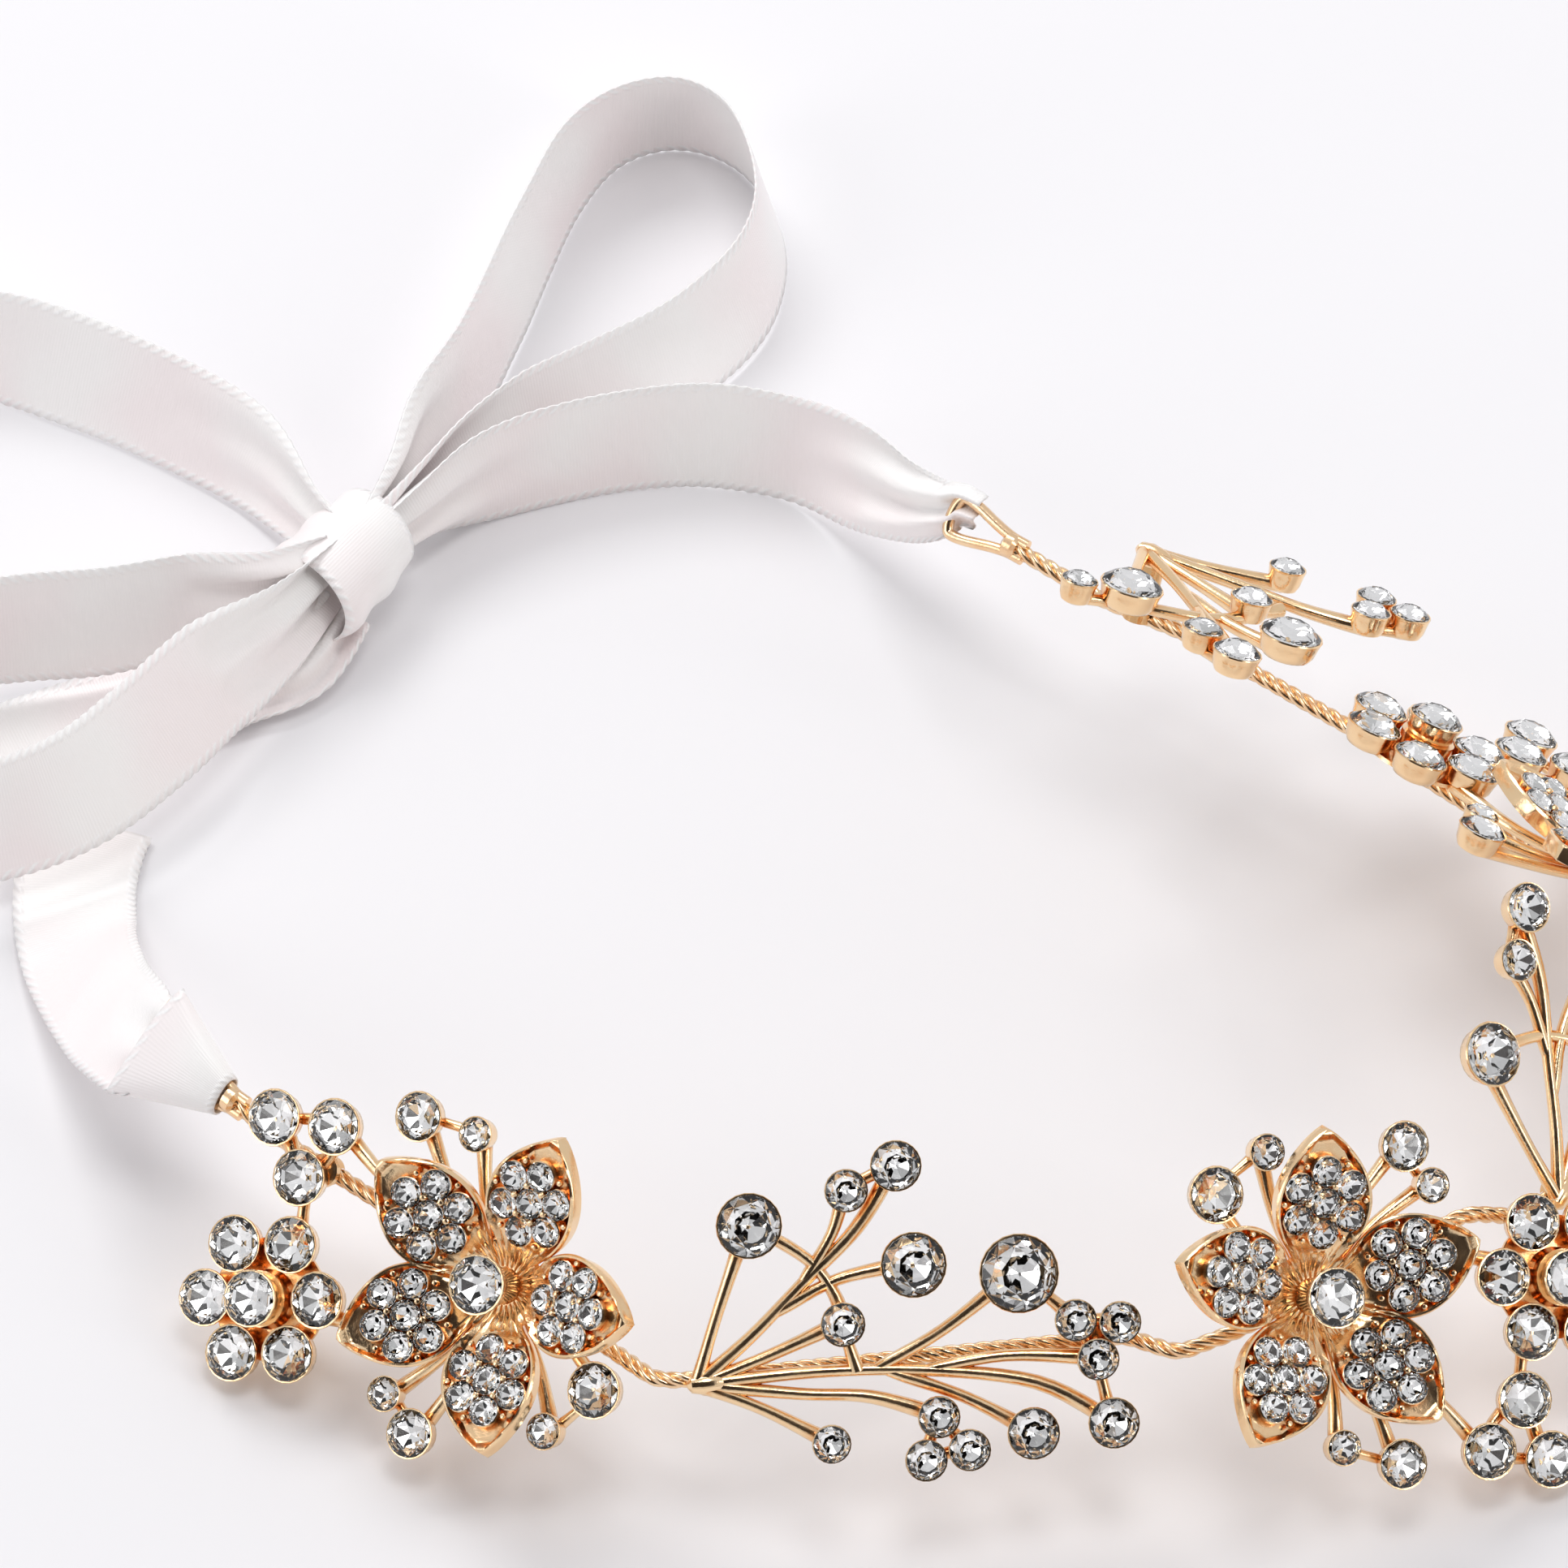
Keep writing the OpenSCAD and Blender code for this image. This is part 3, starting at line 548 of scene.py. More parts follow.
CUP_PROFILE = [
    (0, 0), (0.3, 0), (0.4, 0.07), (0.47, 0.28), (0.505, 0.6), (0.535, 0.8),
    (0.55, 0.86), (0.54, 0.91), (0.505, 0.9), (0.49, 0.7), (0.12, 0.11), (0, 0.11),
]
SEAT_PROFILE = [(0, 0), (0.5, 0), (0.53, 0.5), (0.545, 0.85), (0.51, 0.93), (0.46, 0.75), (0, 0.1)]
BEAD_PROFILE = [(0, -0.5), (0.38, -0.35), (0.5, 0), (0.36, 0.36), (0, 0.5)]
stone_shape = make_stone()
cup_shape = turned_shape("cup", CUP_PROFILE, 22)
seat_shape = turned_shape("seat", SEAT_PROFILE, 14)
bead_shape = turned_shape("bead", BEAD_PROFILE, 8)
print("facets of one stone:", len(stone_shape.data.polygons))

# %% [markdown]
# ## Tubes, stems and posts
#
# Stems are swept along smooth lines and swell where they meet a cup, as cast metal does.
# A frame is carried along each line, so that the tube never twists.


# %% Smooth lines and swept tubes
def smooth_line(points, pieces=6):
    """A Catmull-Rom line through the points."""
    line = []
    last = len(points) - 1
    for i in range(last):
        a, b, c, d = (points[min(max(j, 0), last)] for j in (i - 1, i, i + 1, i + 2))
        for k in range(pieces):
            f = k / pieces
            line.append(0.5 * (2 * b + (c - a) * f + (2 * a - 5 * b + 4 * c - d) * f * f
                               + (3 * b - a - 3 * c + d) * f ** 3))
    return line + [points[-1]]


def join_rings(bm, rings):
    """Faces between rings that have the same number of points."""
    for low, high in zip(rings, rings[1:]):
        for k in range(len(low)):
            n = (k + 1) % len(low)
            bm.faces.new((low[k], low[n], high[n], high[k]))


def sweep(bm, line, radii, sides=10):
    """A closed tube along a line, with a radius at each of its points."""
    side = None
    rows = []
    for i, centre in enumerate(line):
        go = (line[min(i + 1, len(line) - 1)] - line[max(i - 1, 0)]).normalized()
        side = go.orthogonal() if side is None else side - side.dot(go) * go
        side.normalize()
        across = go.cross(side)
        rows.append([bm.verts.new(centre + radii[i] * (math.cos(a) * side + math.sin(a) * across))
                     for a in (math.tau * k / sides for k in range(sides))])
    join_rings(bm, rows)
    for row, centre in ((rows[0], line[0]), (rows[-1], line[-1])):
        pole = bm.verts.new(centre)
        for k in range(sides):
            bm.faces.new((row[k], row[(k + 1) % sides], pole))


def add_mesh(bm, mesh):
    """Adds a finished mesh, in metres, to one that is being made in millimetres."""
    first = len(bm.verts)
    bm.from_mesh(mesh)
    bm.verts.ensure_lookup_table()
    for vert in bm.verts[first:]:
        vert.co /= MM
    bpy.data.meshes.remove(mesh)


# %% Finish a metal piece
def bake_hollow(mesh, reach=0.0022, rays=14):
    """Stores how shut in each point is: the share of rays that hit the metal nearby. The gold paints it as
    shade.
    """
    tree = BVHTree.FromPolygons([v.co for v in mesh.vertices], [p.vertices for p in mesh.polygons])
    chance = random.Random(5)
    directions = []
    while len(directions) < rays:
        direction = Vector(chance.uniform(-1, 1) for _ in range(3))
        if 0.1 < direction.length < 1:
            directions.append(direction.normalized())
    attribute = mesh.attributes.new("hollow", "FLOAT", "POINT")
    for vert in mesh.vertices:
        hits = 0
        start = vert.co + vert.normal * 0.00006
        for direction in directions:
            ray = (direction + vert.normal * 1.05).normalized()
            hits += tree.ray_cast(start, ray, reach)[0] is not None
        attribute.data[vert.index].value = hits / rays


SHARP_EDGE = math.radians(38)


def metal_piece(name, bm, material, nodes):
    mesh = bpy.data.meshes.new(name)
    bmesh.ops.recalc_face_normals(bm, faces=bm.faces)
    bm.to_mesh(mesh)
    bm.free()
    mesh.transform(Matrix.Scale(MM, 4))
    for face in mesh.polygons:
        face.use_smooth = True
        face.material_index = 0
    mesh.set_sharp_from_angle(angle=SHARP_EDGE)
    mesh.materials.clear()
    mesh.materials.append(material)
    thing = add_object(name, mesh)
    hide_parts(*nodes)
    return thing


# %% [markdown]
# ## The sprays
#
# A spray is a branching casting: stems with a cup at each end. The stone list gives
# the layout (u along the wire, v up the face) and the width of each stone.

# %% Layout of a spray
SPRAY_STONES = [
    (4.8, 15.6, 5.9), (14.2, 19.0, 3.9), (19.0, 21.4, 4.6), (20.8, 11.8, 5.9), (14.0, 6.0, 4.0),
    (31.0, 11.0, 7.1), (36.6, 6.4, 3.8), (40.9, 6.2, 3.8), (38.8, 2.6, 3.8), (40.4, -3.6, 4.6),
    (32.6, -4.6, 4.7), (23.4, -3.0, 3.8), (22.2, -7.2, 3.8), (26.4, -6.2, 3.8), (13.0, -5.6, 3.5),
]
EXTRA_STONE = (0.6, 19.2, 3.5)
SHORT_LENGTH = 29
SPRAY_STEMS = [
    [(0, 0), (2, 7), (4.8, 15.6)],
    [(0, 0), (5.2, 4.6), (10, 9.6), (15.4, 15.2), (19, 21.4)],
    [(10, 9.6), (13, 14.6), (14.2, 19)],
    [(7.4, 6.8), (13.6, 10.2), (20.8, 11.8)],
    [(0, 0), (7, 2.8), (14, 6)],
    [(0, 0), (11, 1.2), (22, 1.4), (33, 0.2), (40.4, -3.6)],
    [(17, 1.3), (24, 5.4), (31, 11)],
    [(22, 1.4), (30, 2.8), (38.8, 2.6)],
    [(18.5, 1.3), (26, -1.2), (32.6, -4.6)],
    [(0, 0), (10, -0.9), (17, -1.2), (23.4, -3)],
    [(0, 0), (6.5, -2.4), (13, -5.6)],
    [(4.8, 15.6), (10.6, 12.2), (13.4, 8.6), (14, 6)],
    [(14, 6), (15.6, 1.3)],
    [(31, 11), (36.6, 6.4)],
    [(38.8, 2.6), (40.4, -3.6)],
]
SPRAY_LINKS = [
    [(23.4, -3.0), (22.2, -7.2)], [(23.4, -3.0), (26.4, -6.2)], [(22.2, -7.2), (26.4, -6.2)],
    [(14.2, 19.0), (19.0, 21.4)], [(36.6, 6.4), (38.8, 2.6)], [(40.9, 6.2), (38.8, 2.6)],
    [(36.6, 6.4), (40.9, 6.2)],
]
CUP_BASE = -0.45
GIRDLE_DROP = 0.42
STONE_FILL = 1.03
chance = random.Random(11)


def cup_height(d):
    return max(2.7, 0.32 * d + 0.95)


def cup_place(plaque, p, d, lift=0.0):
    return plaque.at(p, CUP_BASE + lift), plaque.axes(), (d, d, cup_height(d))


def stone_place(plaque, p, d, lift=0.0):
    """A stone in its cup, turned at random and a degree or two off level, as hand-set stones are."""
    tilt = Matrix.Rotation(math.radians(chance.uniform(-2.5, 2.5)), 3, "X")
    tilt = tilt @ Matrix.Rotation(math.radians(chance.uniform(-2.5, 2.5)), 3, "Y")
    turn = plaque.axes(chance.uniform(0, math.tau)) @ tilt
    girdle = CUP_BASE + lift + cup_height(d) - GIRDLE_DROP
    return plaque.at(p, girdle), turn, (STONE_FILL * d,) * 3


def stem(bm, plaque, layout, thick):
    """A stem that is stout at its root, slim along its length and swells at its end."""
    line = smooth_line([plaque.at(p) for p in layout])
    count = len(line) - 1
    radii = []
    for i in range(count + 1):
        f = i / count
        root = 1 if layout[0] == (0, 0) else 0.6 + 0.4 * min(f * 5, 1)
        radii.append(thick * root * (1.04 - 0.26 * math.sin(math.pi * min(f * 1.15, 1)) + 0.06 * f))
    sweep(bm, line, radii)


def gem_piece(name, places, body, nodes):
    mesh = set_on_points(name, stone_shape, places, stone_glass, stone_foil)
    stones = add_object(name, mesh)
    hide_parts(*nodes)
    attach(stones, body)


def add_cups(bm, name, places):
    add_mesh(bm, set_on_points(name, cup_shape, places, gold_casting))


def add_pads(bm, plaque, pads):
    """The flat pads behind a casting, where it is soldered to the wire."""
    for s, v in pads:
        low = plaque.wire_face(s, v, plaque.stand_off - STEM_R)
        line = [low, low + plaque.out * 0.25, low + plaque.out * 0.7, low + plaque.out * 0.95]
        sweep(bm, line, [1.55, 1.7, 1.6, 0.9], 16)


# %% Build the three sprays
PADS = {
    "front_spray": [(1.2, 0.4), (39.1, 0.5)], "left_flower": [(0, 0), (-23, 0)],
    "right_flower": [(0, 0), (12.5, 0)], "right_spray": [(1.2, 0.4), (23.6, 0.5)],
    "back_flower": [(0, 0), (25, 0)], "back_spray": [(-1.2, 0.4)],
}


def make_spray(plaque):
    name = plaque.body
    stones = [s for s in SPRAY_STONES if not plaque.short or s[0] <= SHORT_LENGTH]
    stems = [line for line in SPRAY_STEMS if not plaque.short or line[-1][0] <= SHORT_LENGTH]
    stems += [line for line in SPRAY_LINKS if not plaque.short or line[-1][0] <= SHORT_LENGTH]
    if plaque.mirrored:
        stones = stones + [EXTRA_STONE]
        stems.append([EXTRA_STONE[:2], SPRAY_STONES[0][:2]])
    bm = bmesh.new()
    for line in stems:
        stem(bm, plaque, line, STEM_R)
    apex = [plaque.at((u, 0.1 * u), 0) for u in (-0.9, -0.5, 0.6, 2.2, 3.4)]
    sweep(bm, apex, [0.3, 0.8, 1.05, 0.9, 0.3], 14)
    add_pads(bm, plaque, PADS[name])
    add_cups(bm, name + "_cups", [cup_place(plaque, s, s[2]) for s in stones])
    setting = metal_piece(name + "_setting", bm, gold_casting, [name + "_casting"])
    bake_hollow(setting.data)
    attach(setting, name)
    gem_piece(name + "_gems", [stone_place(plaque, s, s[2]) for s in stones], name, [name + "_stones"])
    print(name, "has", len(stones), "stones and", len(setting.data.polygons), "metal faces")


for spray in SPRAYS:
    make_spray(spray)

# %% [markdown]
# ## The flowers
#
# A flower is a pleated throat with five petals, a raised heart stone on a post, six
# berries on stems and a side cluster: a rosette of six round a seventh, and three more.
# A petal is a grid of points. Its height rises in a narrow lip near its outline, found from
# the distance to the edge, so the lip follows the point of the petal as well.

# %% Petals
PETAL_L, PETAL_W, PETAL_T, PETAL_RIM, PETAL_START = 13.6, 10.2, 1.1, 0.7, 3.6
CLAW = 2.6
PETAL_ANGLES = [60, 134, 200, 273, 348]
PETAL_TIP_UP = math.radians(15)
PAVE_D, PAVE_PITCH, PAVE_MIDDLE = 2.8, 3.15, 6.3
PAVE_SEAT, PAVE_STONE, PAVE_BEAD = (2.95, 2.95, 0.95), (3.06,) * 3, (0.7,) * 3


def petal_half(s):
    return PETAL_W / 2 * math.sin(math.pi * (0.08 + 0.92 * s) ** 0.95) ** 0.75


def lip(edge):
    """Height of the petal's face over its plate, for the distance to its outline."""
    if edge < 0.25:
        return PETAL_RIM * (0.55 + 0.45 * math.sin(math.pi / 2 * edge / 0.25))
    return PETAL_RIM * 0.5 * (1 + math.cos(math.pi * min((edge - 0.25) / 0.75, 1)))


def petal_matrix(plaque, angle):
    basis = plaque.axes(math.radians(angle)).to_4x4()
    start = Matrix.Translation(plaque.at((0, 0))) @ basis @ Matrix.Translation((PETAL_START, 0, 0.7))
    return start @ Matrix.Rotation(-PETAL_TIP_UP, 4, "Y")


def petal_row(x):
    """Half width, drop towards the throat and share of the lip, at x from the petal's base."""
    if x < 2.2:
        claw = (x + CLAW) / (2.2 + CLAW)
        half = 1.15 + (petal_half(2.2 / PETAL_L) - 1.15) * claw ** 1.4
    else:
        claw = 1.0
        half = petal_half(min(x / PETAL_L, 0.9999))
    return max(half, 0.02), -2.0 * (1 - claw) ** 1.6, claw ** 3


def add_petal(bm, matrix):
    """The petal is a dished plate on a ribbed claw that dives into the throat."""
    rows, columns = 40, 24
    grid = []
    for i in range(rows + 1):
        f = i / rows
        x = -CLAW + (PETAL_L + CLAW) * (1 - (1 - f) ** 1.2)
        half, drop, lipped = petal_row(x)
        row = []
        for j in range(columns + 1):
            t = math.sin(math.pi / 2 * (2 * j / columns - 1))
            edge = min((1 - abs(t)) * half, (PETAL_L - x) * 0.7)
            rib = 0.13 * (1 - lipped * 0.8) * math.cos(math.pi * 7 * t) * min(edge * 2, 1)
            dish = 0.35 * t * t * lipped * math.sin(math.pi * min(max(x / PETAL_L, 0), 1))
            height = PETAL_T + drop + lip(edge) * (0.25 + 0.75 * lipped) + rib + dish
            row.append(matrix @ Vector((x, t * half, height)))
        low = [matrix @ Vector((x, k * half * 0.94, drop + 0.15 * abs(k))) for k in (1, 0.5, 0, -0.5, -1)]
        grid.append([bm.verts.new(p) for p in row + low])
    join_rings(bm, grid)
    bm.faces.new(grid[0])
    bm.faces.new(grid[-1])


THROAT_PLEATS = 26


def add_throat(bm, plaque):
    """A funnel with radial pleats that open towards its rim."""
    profile = [(3.2, -0.75), (4.5, 0.7), (4.7, 1.1), (4.4, 1.5), (3.9, 1.4), (3.3, 0.9),
               (2.6, 0.5), (1.9, 0.3)]
    sides = THROAT_PLEATS * 6
    rows = []
    for r, w in profile:
        depth = 0.22 * min(max((r - 2.0) / 2.0, 0), 1)
        row = []
        for k in range(sides):
            a = math.tau * k / sides
            pleat = depth * math.cos(THROAT_PLEATS * a)
            row.append(bm.verts.new(plaque.wire_face((r + pleat * 0.3) * math.cos(a),
                                                     (r + pleat * 0.3) * math.sin(a), w + pleat)))
        rows.append(row)
    join_rings(bm, rows)
    bm.faces.new(rows[0])
    bm.faces.new(rows[-1])


# %% Layout of a flower
HEART_D, CLUSTER_D, HEART_LIFT, ROSETTE_LIFT, ROSETTE_R = 5.5, 5.2, 4.2, 2.3, 6.15
BERRIES = [(-9, 16.2, 4.6), (-2.7, 14.6, 3.3), (-11.9, -10.8, 3.3), (-9, -14.6, 4.6),
           (10.9, -9.9, 5.2), (5.6, -14, 3.4)]
ROSETTE_AT = (-25.7, -1.9)
TRIO = [(-24.8, 15.8), (-18.2, 15.0), (-21.9, 10.0)]
FLOWER_STEMS = [
    [(-3, -1), (-11, -4.2), (-20, -3.4)],
    [(-4, 5), (-12, 9), (-18.2, 15)],
    [(-21.9, 10), (-22.6, 3.4)],
    [(-24.8, 15.8), (-18.2, 15), (-21.9, 10), (-24.8, 15.8)],
]
rosette = [(ROSETTE_AT[0] + ROSETTE_R * math.cos(math.tau * k / 6),
            ROSETTE_AT[1] + ROSETTE_R * math.sin(math.tau * k / 6)) for k in range(6)]


def petal_settings(plaque):
    """Seats, beads and stones for the seven stones on each petal."""
    seats, beads, stones = [], [], []
    for angle in PETAL_ANGLES:
        matrix = petal_matrix(plaque, angle)
        turn = matrix.to_3x3()
        for k in range(7):
            a = math.tau * k / 6
            reach = PAVE_PITCH if k < 6 else 0
            spot = (PAVE_MIDDLE + reach * math.cos(a), reach * math.sin(a))
            seats.append((matrix @ Vector((*spot, PETAL_T - 0.05)), turn, PAVE_SEAT))
            spun = turn @ Matrix.Rotation(chance.uniform(0, math.tau), 3, "Z")
            girdle = PETAL_T + 0.32 * PAVE_D + 0.02
            stones.append((matrix @ Vector((*spot, girdle)), spun, PAVE_STONE))
        for k in range(6):
            a = math.tau * (k + 0.5) / 6
            for reach, high in ((1.85, 1.05), (4.3, 0.75)):
                spot = (PAVE_MIDDLE + reach * math.cos(a), reach * math.sin(a), PETAL_T + high)
                beads.append((matrix @ Vector(spot), turn, PAVE_BEAD))
    return seats, beads, stones


def make_flower(plaque):
    name = plaque.body
    bm = bmesh.new()
    add_throat(bm, plaque)
    for angle in PETAL_ANGLES:
        add_petal(bm, petal_matrix(plaque, angle))
    post = [plaque.at((0, 0), w) for w in (0.2, 0.9, 1.6, 3.4, 4.4)]
    sweep(bm, post, [1.9, 1.5, 1.2, 1.15, 1.5], 16)
    for line in FLOWER_STEMS:
        stem(bm, plaque, line, STEM_R)
    for berry in BERRIES:
        root = Vector(berry[:2]).normalized() * 2.6
        bend = Vector(berry[:2]) * 0.55 + Vector((-berry[1], berry[0])) * 0.05
        stem(bm, plaque, [root, bend, berry[:2]], STEM_R)
    for first in (0, 2, 4):
        stem(bm, plaque, [BERRIES[first][:2], BERRIES[first + 1][:2]], STEM_R * 0.8)
    disc = [plaque.at(ROSETTE_AT, w) for w in (-0.45, -0.4, 0.0, 0.05)]
    sweep(bm, disc, [5.8, 6.1, 6.1, 5.9], 24)
    pillar = [plaque.at(ROSETTE_AT, w) for w in (0, 0.6, 2.2)]
    sweep(bm, pillar, [3.0, 2.6, 2.8], 20)
    add_pads(bm, plaque, PADS[name])

    low = rosette + TRIO
    cups = [cup_place(plaque, p, CLUSTER_D) for p in low]
    cups += [cup_place(plaque, ROSETTE_AT, CLUSTER_D, ROSETTE_LIFT)]
    cups += [cup_place(plaque, (0, 0), HEART_D, HEART_LIFT)]
    cups += [cup_place(plaque, b, b[2]) for b in BERRIES]
    add_cups(bm, name + "_cups", cups)
    seats, beads, stones = petal_settings(plaque)
    add_mesh(bm, set_on_points(name + "_seats", seat_shape, seats, gold_casting))
    add_mesh(bm, set_on_points(name + "_beads", bead_shape, beads, gold_casting))
    setting = metal_piece(name + "_setting", bm, gold_casting, [name + "_casting"])
    bake_hollow(setting.data)
    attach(setting, name)

    gem_piece(name + "_petal_gems", stones, name, [name + "_petal_stones"])
    cluster = [stone_place(plaque, p, CLUSTER_D) for p in low]
    cluster += [stone_place(plaque, ROSETTE_AT, CLUSTER_D, ROSETTE_LIFT)]
    gem_piece(name + "_cluster_gems", cluster, name, [name + "_cluster_stones"])
    berries = [stone_place(plaque, b, b[2]) for b in BERRIES]
    gem_piece(name + "_berry_gems", berries, name, [name + "_berry_stones"])
    heart = [stone_place(plaque, (0, 0), HEART_D, HEART_LIFT)]
    gem_piece(name + "_heart_gem", heart, name, [name + "_heart_stone"])
    print(name, "has", len(setting.data.polygons), "metal faces")


for flower in FLOWERS:
    make_flower(flower)

# %% [markdown]
# ## The twisted wire
#
# The wire is a rope of four thin strands. A tree copies the middle line once per strand,
# pushes each copy sideways round a helix and gives it a round section. Between two
# castings the wire bends, so each length is cut in the middle of a casting, where the cut
# is hidden, and blends from one casting to the next.


# %% A tree that twists strands round a line
def make_rope_tree():
    tree = bpy.data.node_groups.new("rope", "GeometryNodeTree")
    tree_input(tree, "Geometry", "NodeSocketGeometry")
    tree_input(tree, "Strands", "NodeSocketInt")
    for name in ("Strand Radius", "Twist Radius", "Pitch", "Start", "Step"):
        tree_input(tree, name, "NodeSocketFloat")
    tree_input(tree, "Material", "NodeSocketMaterial")
    tree.interface.new_socket(name="Geometry", in_out="OUTPUT", socket_type="NodeSocketGeometry")
    given = add_node(tree, "NodeGroupInput")
    result = add_node(tree, "NodeGroupOutput")
    link = tree.links.new

    def calculate(operation, a, b=None, kind="ShaderNodeMath"):
        node = add_node(tree, kind, operation=operation)
        for socket, value in zip(node.inputs, (a, b)):
            if isinstance(value, (int, float)):
                socket.default_value = value
            elif value is not None:
                link(value, socket)
        return node.outputs[0]

    def vector(operation, a, b=None):
        return calculate(operation, a, b, "ShaderNodeVectorMath")

    def scaled(direction, amount):
        node = add_node(tree, "ShaderNodeVectorMath", operation="SCALE")
        link(direction, node.inputs[0])
        link(amount, node.inputs["Scale"])
        return node.outputs[0]

    curve = add_node(tree, "GeometryNodeMeshToCurve")
    even = add_node(tree, "GeometryNodeResampleCurve", mode="LENGTH")
    level = add_node(tree, "GeometryNodeSetCurveNormal")
    copies = add_node(tree, "GeometryNodeDuplicateElements", domain="SPLINE")
    move = add_node(tree, "GeometryNodeSetPosition")
    section = add_node(tree, "GeometryNodeCurvePrimitiveCircle")
    section.inputs["Resolution"].default_value = 8
    tube = add_node(tree, "GeometryNodeCurveToMesh")
    tube.inputs["Fill Caps"].default_value = True
    real = add_node(tree, "GeometryNodeRealizeInstances")
    coat = add_node(tree, "GeometryNodeSetMaterial")
    link(given.outputs["Geometry"], curve.inputs["Mesh"])
    link(curve.outputs["Curve"], even.inputs["Curve"])
    link(given.outputs["Step"], even.inputs["Length"])
    link(even.outputs["Curve"], level.inputs["Curve"])
    link(level.outputs["Curve"], copies.inputs["Geometry"])
    link(given.outputs["Strands"], copies.inputs["Amount"])

    along = add_node(tree, "GeometryNodeSplineParameter").outputs["Length"]
    turns = calculate("DIVIDE", calculate("ADD", along, given.outputs["Start"]), given.outputs["Pitch"])
    share = calculate("DIVIDE", copies.outputs["Duplicate Index"], given.outputs["Strands"])
    angle = calculate("MULTIPLY", calculate("ADD", turns, share), math.tau)
    normal = add_node(tree, "GeometryNodeInputNormal").outputs["Normal"]
    tangent = add_node(tree, "GeometryNodeInputTangent").outputs["Tangent"]
    side = vector("CROSS_PRODUCT", tangent, normal)
    twist = given.outputs["Twist Radius"]
    first = scaled(normal, calculate("MULTIPLY", calculate("COSINE", angle), twist))
    second = scaled(side, calculate("MULTIPLY", calculate("SINE", angle), twist))
    link(copies.outputs["Geometry"], move.inputs["Geometry"])
    link(vector("ADD", first, second), move.inputs["Offset"])
    link(given.outputs["Strand Radius"], section.inputs["Radius"])
    link(move.outputs["Geometry"], tube.inputs["Curve"])
    link(section.outputs["Curve"], tube.inputs["Profile Curve"])
    link(tube.outputs["Mesh"], real.inputs["Geometry"])
    link(real.outputs["Geometry"], coat.inputs["Geometry"])
    link(given.outputs["Material"], coat.inputs["Material"])
    link(coat.outputs["Geometry"], result.inputs["Geometry"])
    return tree


rope_tree = make_rope_tree()


# %% The middle line of the wire, from one eye to the other
def shifted(x, y, z):
    return Vector((x, y, z)) + CROWN_SHIFT


FLEX = [shifted(64.6, -175.4, 16.4), shifted(115.4, -173.6, 18), shifted(150.0, -155.0, 15.9),
        shifted(173.0, -127.0, 15.6), shifted(133.4, -93.9, 17.1)]
CORNER_LOW = shifted(171.3, -130.5, 14.5)
CORNER_HIGH = shifted(172.4, -123.4, 16.6)
LEFT_BAR = shifted(15.2, -133.5, 16.6)
RIGHT_BAR = shifted(94.0, -66.6, 18)
LEFT_EYE = (LEFT_BAR, math.radians(-42), 10.2, 10.5)
RIGHT_EYE = (RIGHT_BAR, math.radians(-36), 6.4, 4.6)


def eye_neck(eye):
    bar, heading, length, _ = eye
    return bar + length * Vector((math.cos(heading), math.sin(heading), 0))


def behind(plaque, s, v=0.0):
    return plaque.wire_face(s, v, -WIRE_UNDER)


WIRE_PATHS = [
    [eye_neck(LEFT_EYE), behind(LEFT_FLOWER, -29), behind(LEFT_FLOWER, 10), FLEX[0]],
    [FLEX[0], behind(FRONT_SPRAY, -1.6, 0.4), behind(FRONT_SPRAY, 42, 0.4), FLEX[1]],
    [FLEX[1], behind(RIGHT_FLOWER, -8), behind(RIGHT_FLOWER, 19), FLEX[2]],
    [FLEX[2], behind(RIGHT_SPRAY, -1, 0.4), behind(RIGHT_SPRAY, 26, 0.4), CORNER_LOW, FLEX[3]],
    [FLEX[3], CORNER_HIGH, behind(BACK_FLOWER, -8), behind(BACK_FLOWER, 29), FLEX[4]],
    [FLEX[4], behind(BACK_SPRAY, -6), behind(BACK_SPRAY, 3), eye_neck(RIGHT_EYE)],
]


def rounded(points, rounds=3):
    """Cuts the corners of a line again and again, so that it bends softly."""
    for _ in range(rounds):
        cut = [points[0]]
        for a, b in zip(points, points[1:]):
            cut += [a.lerp(b, 0.25), a.lerp(b, 0.75)]
        points = cut + [points[-1]]
    return points


# %% Lay the seven lengths of rope
def cut_line(points, middles):
    """Splits a line at the points that are nearest to the given middles."""
    cuts = [min(range(len(points)), key=lambda i: (points[i] - m).length) for m in middles]
    ends = [0] + cuts + [len(points) - 1]
    return [points[a:b + 1] for a, b in zip(ends, ends[1:])]


def line_mesh(name, points):
    mesh = bpy.data.meshes.new(name)
    mesh.from_pydata([p * MM for p in points], [(i, i + 1) for i in range(len(points) - 1)], [])
    return mesh


ROPE_BUILD = {
    "Strands": 4, "Strand Radius": 0.36 * MM, "Twist Radius": 0.49 * MM, "Pitch": 6.4 * MM,
    "Step": 0.4 * MM,
}


